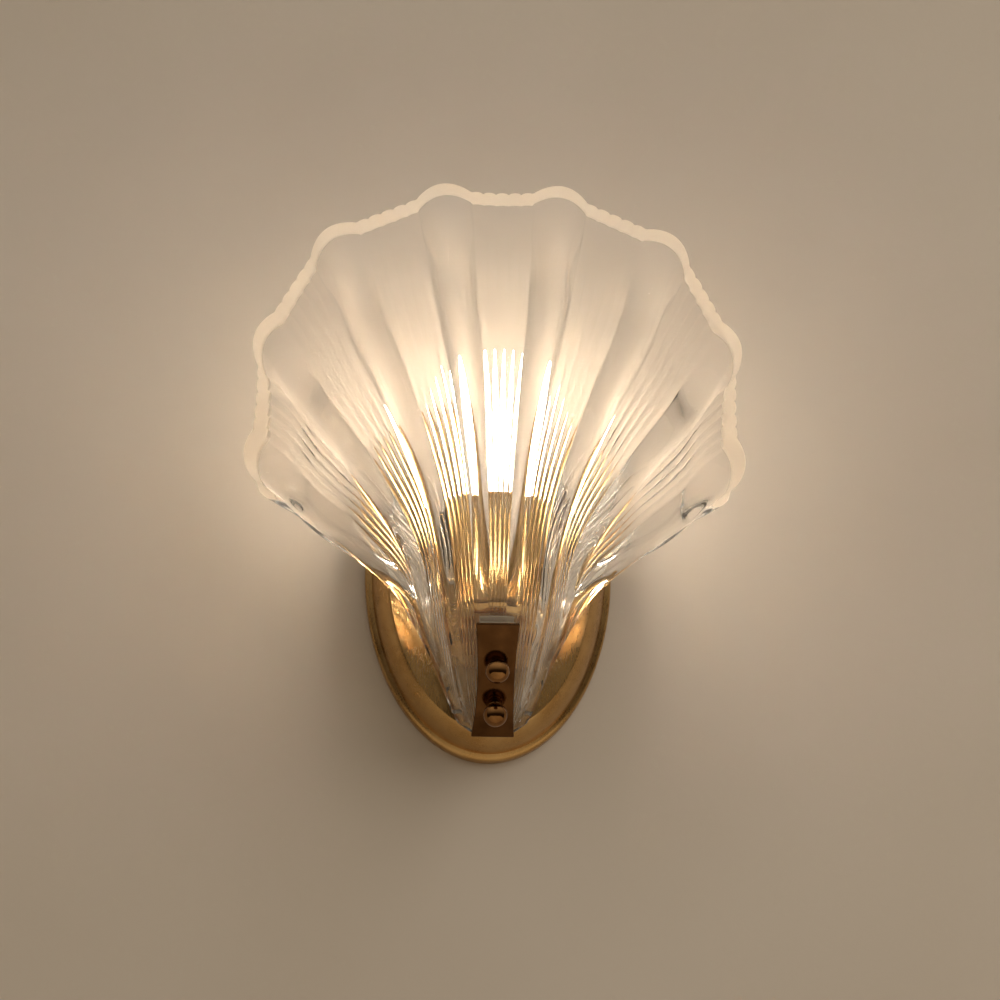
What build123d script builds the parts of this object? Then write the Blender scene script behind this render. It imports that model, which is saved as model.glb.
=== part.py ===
from build123d import *
import math
import os

# Wall sconce with a pressed-glass scallop shell, in millimetres.
# x runs across, d is the distance out from the wall (y = -d) and z runs up.
# The origin is the centre of the backplate's wall face.

# ---- fits and cutters used throughout ----
cutter_spare = 1.0  # how far a cutter runs past the faces it opens
screw_clearance = 0.2
nut_thread_fit = 0.05

# ---- backplate ----
backplate_width = 126.0
backplate_height = 195.0
backplate_depth = 25.0
backplate_wall = 1.6
lip_depth = 6.0  # rolled lip against the wall
lip_round = 3.0
flank_start = 3.0  # step from the lip's edge in to the foot of the flank
face_inset = 11.0  # from the lip's edge in to the raised face
flank_lean_low = 12.0  # the flank is an arc that leans in by this much at its foot
flank_lean_high = 60.0  # and by this much where it meets the raised face
flank_bury = 1.0  # the flank's foot is sunk in the lip by this
face_round = 1.2

# ---- wall crossbar and the backplate's fixings ----
crossbar_length = 98.0
crossbar_height = 18.0
crossbar_thickness = 2.5
fixing_height = -5.0  # z of the crossbar, its studs and the ball nuts
plate_stud_spacing = 42.0
plate_stud_radius = 2.0
plate_stud_clearance = 0.3
slot_spacing = 74.0
slot_length = 16.0
slot_radius = 2.25
earth_screw_radius = 2.0
earth_screw_place = 10.5  # x of the earth screw on the crossbar
earth_head_radius = 3.8
earth_head_height = 2.6
earth_washer_radius = 4.4
earth_washer_thickness = 0.8
stud_shoulder_radius = 3.5
stud_shoulder_height = 3.0
driver_slot_width = 1.0
driver_slot_depth = 1.1

# ---- arm, its foot and the lamp seat ----
foot_width = 52.0
foot_height = 30.0
foot_thickness = 4.0
foot_z = -39.0
foot_corner = 6.0
foot_screw_spacing = 37.4
foot_screw_radius = 2.0
foot_screw_head_radius = 3.8
foot_screw_head_height = 2.2
foot_screw_head_round = 1.0
foot_screw_end = 4.5  # thread behind the raised face
foot_nut_across = 7.0
foot_nut_height = 3.2
arm_width = 18.0
arm_height = 9.0
arm_top_z = -38.5
lead_bore_radius = 3.0
lamp_axis_d = 57.0  # distance of the lamp's axis from the wall
nipple_radius = 5.0
nipple_bore_radius = 3.4
nipple_top_z = -27.0
hex_nut_across = 13.0
hex_nut_height = 3.0
hex_nut_relief = 0.4  # clear round the lock nut's corners in the casting

# ---- lamp cup and lampholder ----
cup_radius = 18.0
cup_top_z = 24.0
cup_wall = 1.2
cup_round = 8.0
cup_bead = 0.9  # radius of the bead round the cup's mouth
cup_bead_sunk = 0.2  # the bead's middle, in from the cup's outside
holder_radius = 13.5
holder_top_z = 18.0
holder_edge_round = 1.5
holder_floor_depth = 4.5  # below the screw shell
holder_wall_to_shell = 0.4
screw_shell_radius = 7.15  # inside radius, small screw cap
screw_shell_wall = 0.5
screw_shell_length = 24.0
screw_shell_sink = 1.5  # below the holder's top
screw_shell_flange = 1.2
contact_drop = 3.6  # from the bulb's cap down to the contact leaf
contact_width = 4.0
contact_foot = 9.0
contact_leaf = 6.0
contact_leaf_thickness = 0.6
contact_post = 1.2

# ---- candle bulb ----
bulb_cap_radius = 6.85
bulb_cap_length = 23.0
bulb_cap_wall = 0.4
bulb_cap_top_z = 17.0
cap_floor = 1.0
insulator_low_radius = 2.6
insulator_high_radius = 6.25
insulator_height = 2.4
cap_contact_radius = 2.2
cap_contact_height = 0.95
bulb_glass_radius = 17.5
bulb_glass_length = 87.0  # from the top of the cap to the tip
bulb_glass_wall = 0.8
bulb_cap_fit = 0.2  # cement gap between the cap and the glass neck
bulb_neck_length = 8.0
bulb_wide_z = 35.0  # widest ring, above the top of the cap
bulb_tip_radius = 5.0
filament_count = 4
filament_radius = 0.9
filament_length = 40.0
filament_circle = 5.0
filament_base = 14.0  # foot of the filaments, above the top of the cap
filament_hub = 1.2
stem_disc_thickness = 1.5
stem_disc_depth = 6.5  # below the top of the cap
stem_pillar_radius = 1.8
stem_post_radius = 0.7
stem_post_end = 2.4  # past the upper hub

# ---- glass shell ----
rim_lean = 23.5  # degrees that the ground rim leans out from vertical
rim_set_out = 12.0  # rim's centre in front of the lamp's axis
rim_centre_d = lamp_axis_d + rim_set_out
rim_centre_z = 55.5
rim_radius = 120.5
rim_shoulder = 6.8  # extra radius at the rim's shoulders
shoulder_turn = 1.9
tail_set_back = 22.0  # tail's end behind the lamp's axis
tail_d = lamp_axis_d - tail_set_back
tail_z = -93.0
glass_thickness = 5.0
rib_count = 8
rib_pitch = 27.5  # degrees round the rim
rib_width = 16.0  # degrees round the rim
rib_height = 6.8
rib_strips = 6
rib_fullness = 0.7  # 1 gives a cosine hump, less a fuller one
flutes_per_panel = 4
flute_depth = 1.2
side_margin = 0.5  # degrees of plain glass outside the last rib
tail_cut = 0.06  # how much later the sides start than the middle of the tail
calm_growth = 0.12  # the wall is laid off square to the shell from here on up

# How the scallop grows from its tail to its rim, one row for each station:
# share of the full length, share of the full width, swing of the growth line
# out of the rim's lean in degrees, and how deep the sides wrap round as a share
# of the rim's radius.
growth_rows = [
    (-0.06, 0.070, 41.0, 0.017),
    (0.000, 0.115, 41.0, 0.033),
    (0.050, 0.155, 40.0, 0.066),
    (0.114, 0.195, 36.5, 0.116),
    (0.227, 0.250, 27.5, 0.149),
    (0.443, 0.372, 17.0, 0.141),
    (0.667, 0.595, 12.3, 0.083),
    (0.826, 0.810, 7.9, 0.037),
    (1.000, 1.000, 0.0, 0.000),
]
stations = [0.0, 0.05, 0.12, 0.2, 0.3, 0.42, 0.55, 0.68, 0.8, 0.9, 1.0]

# ---- clamp on the shell's tail ----
clamp_from = 0.018  # growth share at the clamp plate's lower end
clamp_to = 0.245  # and at its upper end
clamp_plate_width = 21.5
clamp_plate_waist = 1.6  # how far each long side draws in at the middle
clamp_plate_thickness = 2.5
gasket_thickness = 1.0
gasket_inset = 2.0  # front gasket, in from the clamp plate's long sides
saddle_from = 0.035
saddle_to = 0.25
saddle_width = 16.0
saddle_thickness = 4.0
seat_gap = 0.3  # clear of the glass, which beds on its gaskets
clamp_stud_growth = (0.093, 0.170)  # lower and upper stud
clamp_stud_radius = 2.5
stud_head_radius = 4.0
stud_head_height = 2.2
stud_seat_depth = 1.0  # the heads sit in spot faces in the saddle's back
stud_seat_clearance = 0.3  # round the head in its spot face
sleeve_wall = 1.0
sleeve_fit = 0.25  # round the sleeve and round the stud

# ---- ball nuts and their collars ----
clamp_ball_radius = 6.0
clamp_collar_radius = 4.2
clamp_collar_length = 3.0
plate_ball_radius = 4.75
plate_collar_radius = 3.4
plate_collar_length = 2.5
nut_bore_fit = 0.06
nut_gap = 0.05  # between nut, collar and the face below
nut_seat_share = 0.85  # flat under the ball, as a share of the collar's radius
collar_round = 0.5
clamp_stud_reach = 8.0  # thread inside the ball nut
plate_stud_reach = 6.0
bore_spare = 1.0

# ---- terminal block ----
terminal_length = 26.0
terminal_height = 16.0
terminal_depth = 12.0
terminal_z = 22.0
terminal_screw_radius = 1.8
terminal_screw_length = 5.0
terminal_pitch = 12.0
terminal_corner = 1.5
terminal_entry_radius = 2.2
terminal_screw_sink = 0.6  # head below the block's face
terminal_slot_width = 0.8
terminal_slot_depth = 0.6
terminal_screw_fit = 0.1
grommet_flange = 1.5
grommet_wall = 1.4


def point(x, d, z):
    return Vector(x, -d, z)


def wall_plane(x, d, z):
    # local z points out from the wall, local y up
    return Plane(origin=(x, -d, z), x_dir=(1, 0, 0), z_dir=(0, -1, 0))


def rod(plane, radius, start, end):
    stock = Cylinder(radius, end - start, align=(Align.CENTER, Align.CENTER, Align.MIN))
    return plane * Pos(0, 0, start) * stock


def bore(plane, radius, start, end):
    # cutter that runs a little past both ends
    return rod(plane, radius, start - cutter_spare, end + cutter_spare)


def tube(plane, outer, inner, start, end):
    return rod(plane, outer, start, end) - bore(plane, inner, start, end)


def hex_nut(plane, across, thread_radius, start, end):
    blank = extrude(RegularPolygon(across / 2, 6, major_radius=False), end - start)
    return plane * Pos(0, 0, start) * blank - bore(plane, thread_radius + nut_thread_fit, start, end)


def screw_slot(plane, top, head_radius):
    # cutter for a driver slot in the top of a screw's head
    across = 2 * (head_radius + cutter_spare)
    return plane * Pos(0, 0, top) * Box(across, driver_slot_width, 2 * driver_slot_depth)


def side_profile(outline, width):
    # outline: edges drawn in the plane of x = 0
    return extrude(make_face(outline), width / 2, dir=(1, 0, 0), both=True)


# ---- the scallop's surface ----


def grown(column, share):
    # smooth value of one column of growth_rows, without overshoot
    count = len(growth_rows)
    index = 0
    while index < count - 2 and growth_rows[index + 1][0] <= share:
        index += 1
    spans = [growth_rows[k + 1][0] - growth_rows[k][0] for k in range(count - 1)]
    slopes = [
        (growth_rows[k + 1][column] - growth_rows[k][column]) / spans[k] for k in range(count - 1)
    ]
    tangents = [slopes[0]]
    for k in range(1, count - 1):
        same_way = slopes[k - 1] * slopes[k] > 0
        tangents.append(2 * slopes[k - 1] * slopes[k] / (slopes[k - 1] + slopes[k]) if same_way else 0.0)
    tangents.append(slopes[-1])
    t = (share - growth_rows[index][0]) / spans[index]
    low = growth_rows[index][column]
    high = growth_rows[index + 1][column]
    return (
        (2 * t**3 - 3 * t**2 + 1) * low
        + (t**3 - 2 * t**2 + t) * spans[index] * tangents[index]
        + (-2 * t**3 + 3 * t**2) * high
        + (t**3 - t**2) * spans[index] * tangents[index + 1]
    )


def shell_point(angle, share, rise=0.0):
    # angle: degrees round the rim from its top; share: growth from tail to rim
    lean = math.radians(rim_lean)
    tail_up = math.sin(lean) * (tail_d - rim_centre_d) + math.cos(lean) * (tail_z - rim_centre_z)
    tail_out = math.cos(lean) * (tail_d - rim_centre_d) - math.sin(lean) * (tail_z - rim_centre_z)
    turn = math.radians(angle)
    radius = rim_radius + rim_shoulder * math.sin(shoulder_turn * turn) ** 2 + rise
    x = grown(1, share) * radius * math.sin(turn)
    up = share * (radius * math.cos(turn) - tail_up)
    out = -share * tail_out - grown(3, share) * rim_radius * (1 - math.cos(turn))
    swung = lean + math.radians(grown(2, share))
    d = tail_d + up * math.sin(swung) + out * math.cos(swung)
    z = tail_z + up * math.cos(swung) - out * math.sin(swung)
    return point(x, d, z)


def shell_normal(angle, share):
    # square to the smooth scallop, pointing into the room
    calm = max(share, calm_growth)
    across = shell_point(angle + 0.3, calm) - shell_point(angle - 0.3, calm)
    along = shell_point(angle, calm + 0.004) - shell_point(angle, calm - 0.004)
    return across.cross(along).normalized()


def outside_rim(spot):
    lean = math.radians(rim_lean)
    return math.cos(lean) * (-spot.Y - rim_centre_d) - math.sin(lean) * (spot.Z - rim_centre_z)


def first_share(angle):
    full = rib_pitch * (rib_count - 1) / 2 + rib_width / 2 + side_margin
    return tail_cut * (angle / full) ** 2


def outer_line(angle, rise):
    start = first_share(angle)
    return Spline([shell_point(angle, start + (1 - start) * s, rise) for s in stations])


def inner_spot(angle, share, rise):
    return shell_point(angle, share, rise) - shell_normal(angle, share) * glass_thickness


def inner_line(angle, rise):
    # the inside ends on the plane that the rim is ground to
    low = 0.7
    high = 1.0
    for _ in range(30):
        middle = (low + high) / 2
        if outside_rim(inner_spot(angle, middle, rise)) > 0:
            low = middle
        else:
            high = middle
    start = first_share(angle)
    return Spline([inner_spot(angle, start + (low - start) * s, rise) for s in stations])


def shell_lines():
    # each entry: angle, rise of the outside, rise of the inside
    lines = []
    half_rib = rib_width / 2
    first_rib = -rib_pitch * (rib_count - 1) / 2
    lines.append((first_rib - half_rib - side_margin, 0.0, 0.0))
    for rib in range(rib_count):
        centre = first_rib + rib * rib_pitch
        for strip in range(rib_strips + 1):
            place = 2 * strip / rib_strips - 1
            rise = rib_height * math.cos(place * math.pi / 2) ** rib_fullness if abs(place) < 1 else 0.0
            lines.append((centre + place * half_rib, rise, rise))
        if rib == rib_count - 1:
            continue
        panel = rib_pitch - rib_width
        steps = 2 * flutes_per_panel
        for step in range(1, steps):
            sunk = flute_depth if step % 2 else 0.0
            lines.append((centre + half_rib + panel * step / steps, -sunk, 0.0))
    lines.append((-first_rib + half_rib + side_margin, 0.0, 0.0))
    return lines


def scallop():
    outer = []
    inner = []
    for angle, outer_rise, inner_rise in shell_lines():
        outer.append(outer_line(angle, outer_rise).edge())
        inner.append(inner_line(angle, inner_rise).edge())
    faces = []
    for lines in (outer, inner):
        for left, right in zip(lines, lines[1:]):
            faces.append(Face.make_surface_from_curves(left, right))
    faces.append(Face.make_surface_from_curves(outer[0], inner[0]))
    faces.append(Face.make_surface_from_curves(outer[-1], inner[-1]))
    for k in range(len(outer) - 1):
        for end in (0, 1):
            front = Edge.make_line(outer[k] @ end, outer[k + 1] @ end)
            back = Edge.make_line(inner[k] @ end, inner[k + 1] @ end)
            faces.append(Face.make_surface_from_curves(front, back))
    return Solid(Shell(faces))


# ---- the clamp follows the middle line of the scallop's tail ----


def tail_plane(share, offset=0.0):
    # on the shell's middle line, local z square to the glass and out into the room
    here = shell_point(0, share)
    along = (shell_point(0, share + 0.004) - shell_point(0, share - 0.004)).normalized()
    outward = Vector(1, 0, 0).cross(along)
    return Plane(origin=here + outward * offset, x_dir=(1, 0, 0), z_dir=outward)


def tail_band(start, end, offset, thickness, width):
    # strip that follows the tail at a distance from the outside of the glass
    steps = 6
    shares = [start + (end - start) * k / steps for k in range(steps + 1)]
    front = Spline([tail_plane(s, offset + thickness).origin for s in shares])
    back = Spline([tail_plane(s, offset).origin for s in shares])
    ends = [Line(front @ k, back @ k) for k in (0, 1)]
    return side_profile([front, back] + ends, width)


def seat_offset(start, end, width, inside):
    # how far the glass stands proud of its own middle line under a strip
    steps = 14
    fine = 40
    middle = [tail_plane(start + (end - start) * k / fine) for k in range(fine + 1)]
    proud = []
    for k in range(steps + 1):
        share = start + (end - start) * k / steps
        for angle, outer_rise, inner_rise in shell_lines():
            if inside:
                spot = inner_spot(angle, share, inner_rise)
            else:
                spot = shell_point(angle, share, outer_rise)
            if abs(spot.X) > width / 2 + cutter_spare:
                continue
            flat = Vector(0, spot.Y, spot.Z)
            near = min(middle, key=lambda plane: (plane.origin - flat).length)
            proud.append((flat - near.origin).dot(near.z_dir))
    return min(proud) if inside else max(proud)


front_seat = seat_offset(clamp_from, clamp_to, clamp_plate_width, False) + seat_gap
rear_seat = seat_offset(saddle_from, saddle_to, saddle_width, True) - seat_gap
plate_back = front_seat + gasket_thickness
plate_front = plate_back + clamp_plate_thickness
saddle_front = rear_seat - gasket_thickness
saddle_back = saddle_front - saddle_thickness
front_gasket_width = clamp_plate_width - 2 * gasket_inset
sleeve_radius = clamp_stud_radius + sleeve_fit + sleeve_wall
glass_hole_radius = sleeve_radius + sleeve_fit
stud_hole_radius = clamp_stud_radius + sleeve_fit


def through_tail(stock, radius):
    for share in clamp_stud_growth:
        stock = stock - bore(tail_plane(share), radius, saddle_back, plate_front)
    return stock


def glass_shell():
    return through_tail(scallop(), glass_hole_radius)


def clamp_plate():
    band = tail_band(clamp_from, clamp_to, plate_back, clamp_plate_thickness, clamp_plate_width)
    middle = tail_plane((clamp_from + clamp_to) / 2)
    length = (tail_plane(clamp_to).origin - tail_plane(clamp_from).origin).length
    waist_radius = (length**2 / 4 + clamp_plate_waist**2) / (2 * clamp_plate_waist)
    reach = clamp_plate_width / 2 - clamp_plate_waist + waist_radius
    for side in (-1, 1):
        band = band - middle * Pos(side * reach, 0, 0) * Cylinder(waist_radius, length)
    return through_tail(band, stud_hole_radius)


def gasket(start, end, offset, width):
    return through_tail(tail_band(start, end, offset, gasket_thickness, width), stud_hole_radius)


def stud_sleeves():
    pieces = []
    for share in clamp_stud_growth:
        plane = tail_plane(share)
        inside = inner_spot(0, share, 0.0)
        start = (inside - plane.origin).dot(plane.z_dir)
        pieces.append(tube(plane, sleeve_radius, stud_hole_radius, start, 0))
    return pieces


def clamp_studs():
    seat = saddle_back + stud_seat_depth
    end = plate_front + clamp_collar_length + 2 * nut_gap + clamp_stud_reach
    pieces = []
    for share in clamp_stud_growth:
        plane = tail_plane(share)
        head = rod(plane, stud_head_radius, seat - stud_head_height, seat)
        pieces.append(rod(plane, clamp_stud_radius, seat, end) + head)
    return pieces


# ---- ball nut on a collar, set on a plane whose z is the stud's axis ----


def collar(plane, seat, radius, length, stud_radius):
    start = seat + nut_gap
    blank = rod(plane, radius, start, start + length)
    blank = fillet(blank.edges().filter_by(GeomType.CIRCLE), collar_round)
    return blank - bore(plane, stud_radius + nut_bore_fit, start, start + length)


def ball_nut(plane, seat, ball_radius, collar_radius, collar_length, stud_radius, reach):
    start = seat + 2 * nut_gap + collar_length
    flat_radius = collar_radius * nut_seat_share
    centre = start + math.sqrt(ball_radius**2 - flat_radius**2)
    ball = plane * Pos(0, 0, centre) * Sphere(ball_radius)
    trim = rod(plane, ball_radius, start - ball_radius, start)
    thread = rod(plane, stud_radius + nut_bore_fit, start - cutter_spare, start + reach + bore_spare)
    return ball - trim - thread


# ---- backplate ----


def oval(inset, depth):
    half_width = backplate_width / 2 - inset
    half_height = backplate_height / 2 - inset
    return wall_plane(0, depth, 0) * Ellipse(half_width, half_height)


def flank(wall, front):
    # rounded flank between the lip and the raised face
    steps = 5
    foot = lip_depth - flank_bury
    low = math.radians(flank_lean_low)
    high = math.radians(flank_lean_high)
    rings = []
    for k in range(steps + 1):
        lean = low + (high - low) * k / steps
        inward = (math.cos(low) - math.cos(lean)) / (math.cos(low) - math.cos(high))
        outward = (math.sin(lean) - math.sin(low)) / (math.sin(high) - math.sin(low))
        inset = flank_start + (face_inset - flank_start) * inward
        depth = foot + (front - foot) * outward
        rings.append(oval(inset + wall, depth))
    return loft(rings)


def backplate():
    lip = extrude(oval(0, 0), lip_depth)
    lip = fillet(lip.edges().sort_by(Axis.Y)[0], lip_round)
    body = lip + flank(0, backplate_depth)
    body = fillet(body.edges().sort_by(Axis.Y)[0], face_round)
    hollow = extrude(oval(backplate_wall, 0), lip_depth - backplate_wall)
    neck = extrude(oval(flank_start + backplate_wall, 0), lip_depth)
    body = body - hollow - neck - flank(backplate_wall, backplate_depth - backplate_wall)
    for side in (-1, 1):
        stud = wall_plane(side * plate_stud_spacing / 2, 0, fixing_height)
        body = body - bore(stud, plate_stud_radius + plate_stud_clearance, 0, backplate_depth)
        screw = wall_plane(side * foot_screw_spacing / 2, 0, foot_z)
        body = body - bore(screw, foot_screw_radius + screw_clearance, 0, backplate_depth)
    lead = wall_plane(0, 0, lead_z)
    return body - bore(lead, lead_bore_radius + grommet_wall, 0, backplate_depth)


lead_z = arm_top_z - arm_height / 2


def wall_grommet():
    lead = wall_plane(0, 0, lead_z)
    inner_face = backplate_depth - backplate_wall
    outer = lead_bore_radius + grommet_wall
    sleeve = tube(lead, outer, lead_bore_radius, inner_face, backplate_depth)
    flange_outer = outer + grommet_flange
    flange = tube(lead, flange_outer, lead_bore_radius, inner_face - grommet_flange, inner_face)
    return sleeve + flange


def wall_crossbar():
    bar = Box(crossbar_length, crossbar_thickness, crossbar_height)
    bar = fillet(bar.edges().filter_by(Axis.Y), crossbar_height / 4)
    bar = Pos(0, -crossbar_thickness / 2, fixing_height) * bar
    for side in (-1, 1):
        slot = SlotOverall(slot_length, 2 * slot_radius)
        place = wall_plane(side * slot_spacing / 2, -cutter_spare, fixing_height)
        bar = bar - extrude(place * slot, crossbar_thickness + 2 * cutter_spare)
        stud = wall_plane(side * plate_stud_spacing / 2, 0, fixing_height)
        bar = bar - bore(stud, plate_stud_radius, 0, crossbar_thickness)
    earth = wall_plane(earth_screw_place, 0, fixing_height)
    return bar - bore(earth, earth_screw_radius, 0, crossbar_thickness)


def crossbar_studs():
    end = backplate_depth + 2 * nut_gap + plate_collar_length + plate_stud_reach
    pieces = []
    for side in (-1, 1):
        plane = wall_plane(side * plate_stud_spacing / 2, 0, fixing_height)
        shoulder_end = crossbar_thickness + stud_shoulder_height
        shoulder = rod(plane, stud_shoulder_radius, crossbar_thickness, shoulder_end)
        pieces.append(rod(plane, plate_stud_radius, 0, end) + shoulder)
    return pieces


def earth_screw():
    plane = wall_plane(earth_screw_place, 0, fixing_height)
    seat = crossbar_thickness + earth_washer_thickness
    top = seat + earth_head_height
    head = rod(plane, earth_head_radius, seat, top) - screw_slot(plane, top, earth_head_radius)
    return rod(plane, earth_screw_radius, 0, seat) + head


def earth_washer():
    plane = wall_plane(earth_screw_place, 0, fixing_height)
    start = crossbar_thickness
    hole = earth_screw_radius + nut_thread_fit
    return tube(plane, earth_washer_radius, hole, start, start + earth_washer_thickness)


def terminal_places():
    for side in (-1, 1):
        for row in (-1, 1):
            yield side * terminal_pitch / 2, terminal_z + row * terminal_height / 4


def terminal_block():
    # stands on a spacer foot against the inside of the raised face
    front = backplate_depth - backplate_wall
    block = Box(terminal_length, terminal_depth, terminal_height)
    block = fillet(block.edges().filter_by(Axis.Y), terminal_corner)
    block = Pos(0, -(front - terminal_depth / 2), terminal_z) * block
    for side in (-1, 1):
        entry = Cylinder(terminal_entry_radius, terminal_height + cutter_spare)
        middle = front - terminal_depth / 2
        block = block - Pos(side * terminal_pitch / 2, -middle, terminal_z) * entry
    for x, z in terminal_places():
        well = wall_plane(x, front - terminal_depth, z)
        block = block - rod(well, terminal_screw_radius, -cutter_spare, terminal_screw_length)
    return block


def terminal_screws():
    back = backplate_depth - backplate_wall - terminal_depth
    pieces = []
    for x, z in terminal_places():
        plane = wall_plane(x, back, z)
        radius = terminal_screw_radius - terminal_screw_fit
        screw = rod(plane, radius, terminal_screw_sink, terminal_screw_length)
        slot = Box(2 * terminal_screw_radius, terminal_slot_width, 2 * terminal_slot_depth)
        pieces.append(screw - plane * Pos(0, 0, terminal_screw_sink) * slot)
    return pieces


# ---- arm ----


def arm_bracket():
    saddle = tail_band(saddle_from, saddle_to, saddle_back, saddle_thickness, saddle_width)
    arm_bottom_z = arm_top_z - arm_height
    back = backplate_depth
    reach = [meet_saddle(z) for z in (arm_top_z, arm_bottom_z)]
    outline = Polyline(
        (0, -back, arm_top_z),
        (0, -reach[0], arm_top_z),
        (0, -reach[1], arm_bottom_z),
        (0, -back, arm_bottom_z),
        close=True,
    )
    arm = side_profile(outline, arm_width)
    foot = Box(foot_width, foot_thickness, foot_height)
    foot = fillet(foot.edges().filter_by(Axis.Y), foot_corner)
    foot = Pos(0, -(back + foot_thickness / 2), foot_z) * foot
    front_edges = foot.edges().filter_by(Plane.XZ).group_by(Axis.Y)[0]
    foot = fillet(front_edges, foot_thickness / 4)
    body = arm + foot + saddle
    for side in (-1, 1):
        screw = wall_plane(side * foot_screw_spacing / 2, 0, foot_z)
        hole_radius = foot_screw_radius + screw_clearance
        body = body - bore(screw, hole_radius, back, back + foot_thickness)
    body = body - rod(wall_plane(0, 0, lead_z), lead_bore_radius, back - cutter_spare, lamp_axis_d)
    body = body - bore(lamp_plane(), nipple_radius + nut_thread_fit, arm_bottom_z, arm_top_z)
    relief_radius = hex_nut_across / math.sqrt(3) + hex_nut_relief
    body = body - rod(lamp_plane(), relief_radius, nipple_bottom_z - hex_nut_height, arm_bottom_z)
    for share in clamp_stud_growth:
        seat = tail_plane(share)
        head_room = stud_head_radius + stud_seat_clearance
        behind = saddle_back - arm_height
        body = body - rod(seat, head_room, behind, saddle_back + stud_seat_depth)
    return through_tail(body, stud_hole_radius)


def meet_saddle(z):
    # how far out the middle of the saddle's thickness lies at a height
    low = 0.0
    high = 0.5
    for _ in range(30):
        share = (low + high) / 2
        if tail_plane(share, saddle_back + saddle_thickness / 2).origin.Z < z:
            low = share
        else:
            high = share
    capped = min(share, saddle_to)
    return -tail_plane(capped, saddle_back + saddle_thickness / 2).origin.Y


def arm_screws():
    start = backplate_depth - backplate_wall - foot_screw_end
    seat = backplate_depth + foot_thickness
    top = seat + foot_screw_head_height
    pieces = []
    for side in (-1, 1):
        plane = wall_plane(side * foot_screw_spacing / 2, 0, foot_z)
        head = rod(plane, foot_screw_head_radius, seat, top)
        rim = head.edges().filter_by(GeomType.CIRCLE).sort_by(Axis.Y)[0]
        head = fillet(rim, foot_screw_head_round) - screw_slot(plane, top, foot_screw_head_radius)
        pieces.append(rod(plane, foot_screw_radius, start, seat) + head)
    return pieces


def arm_screw_nuts():
    end = backplate_depth - backplate_wall
    pieces = []
    for side in (-1, 1):
        plane = wall_plane(side * foot_screw_spacing / 2, 0, foot_z)
        pieces.append(hex_nut(plane, foot_nut_across, foot_screw_radius, end - foot_nut_height, end))
    return pieces


def lamp_plane(z=0.0):
    return Plane(origin=(0, -lamp_axis_d, z), x_dir=(1, 0, 0), z_dir=(0, 0, 1))


nipple_bottom_z = arm_top_z - arm_height - hex_nut_height
cup_seat_z = arm_top_z
seat_nut_z = cup_seat_z + cup_wall
holder_floor_z = holder_top_z - screw_shell_length - holder_floor_depth
bulb_cap_bottom_z = bulb_cap_top_z - bulb_cap_length
bulb_neck_radius = bulb_cap_radius - bulb_cap_wall - bulb_cap_fit
hub_z = bulb_cap_top_z + filament_base
hub_top_z = hub_z + filament_hub + filament_length


def hollow_nipple():
    body = tube(lamp_plane(), nipple_radius, nipple_bore_radius, nipple_bottom_z, nipple_top_z)
    start = lamp_axis_d - 2 * nipple_radius
    return body - rod(wall_plane(0, 0, lead_z), lead_bore_radius, start, lamp_axis_d)


def nipple_lock_nut():
    top = arm_top_z - arm_height
    return hex_nut(lamp_plane(), hex_nut_across, nipple_radius, top - hex_nut_height, top)


def cup_seat_nut():
    top = seat_nut_z + hex_nut_height
    return hex_nut(lamp_plane(), hex_nut_across, nipple_radius, seat_nut_z, top)


def rounded_pot(radius, bottom, top, corner):
    pot = rod(lamp_plane(), radius, bottom, top)
    return fillet(pot.edges().filter_by(GeomType.CIRCLE).sort_by(Axis.Z)[0], corner)


def lamp_cup():
    outer = rounded_pot(cup_radius, cup_seat_z, cup_top_z, cup_round)
    inner_round = cup_round - cup_wall
    inner_top = cup_top_z + cutter_spare
    inner = rounded_pot(cup_radius - cup_wall, cup_seat_z + cup_wall, inner_top, inner_round)
    bead = lamp_plane(cup_top_z - cup_bead) * Torus(cup_radius - cup_bead_sunk, cup_bead)
    hole = bore(lamp_plane(), nipple_radius + screw_clearance, cup_seat_z, cup_seat_z + cup_wall)
    return (outer + bead) - inner - hole


def lampholder_body():
    plane = lamp_plane()
    bottom = seat_nut_z + hex_nut_height
    cavity = screw_shell_radius + screw_shell_wall + holder_wall_to_shell
    body = rod(plane, holder_radius, bottom, holder_top_z)
    body = fillet(body.edges().filter_by(GeomType.CIRCLE).sort_by(Axis.Z)[-1], holder_edge_round)
    body = body - rod(plane, cavity, holder_floor_z, holder_top_z + cutter_spare)
    return body - bore(plane, nipple_radius + screw_clearance, bottom, nipple_top_z)


def lampholder_screw_shell():
    outer = screw_shell_radius + screw_shell_wall
    top = holder_top_z - screw_shell_sink
    body = tube(lamp_plane(), outer, screw_shell_radius, top - screw_shell_length, top)
    flange_end = outer + holder_wall_to_shell
    return body + tube(lamp_plane(), flange_end, screw_shell_radius, top - screw_shell_flange, top)


def lampholder_contact():
    # spring leaf that stands on the floor of the holder
    height = bulb_cap_bottom_z - contact_drop - holder_floor_z
    low = (Align.MIN, Align.CENTER, Align.MIN)
    high = (Align.MIN, Align.CENTER, Align.MAX)
    foot = Box(contact_foot, contact_width, contact_leaf_thickness, align=low)
    post = Box(contact_post, contact_width, height, align=low)
    leaf = Pos(0, 0, height) * Box(contact_leaf, contact_width, contact_leaf_thickness, align=high)
    return Pos(-contact_foot / 2, -lamp_axis_d, holder_floor_z) * (foot + post + leaf)


# ---- bulb ----


def bulb_cap():
    plane = lamp_plane()
    outer = rod(plane, bulb_cap_radius, bulb_cap_bottom_z, bulb_cap_top_z)
    floor = bulb_cap_bottom_z + cap_floor
    return outer - rod(plane, bulb_cap_radius - bulb_cap_wall, floor, bulb_cap_top_z + cutter_spare)


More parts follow.
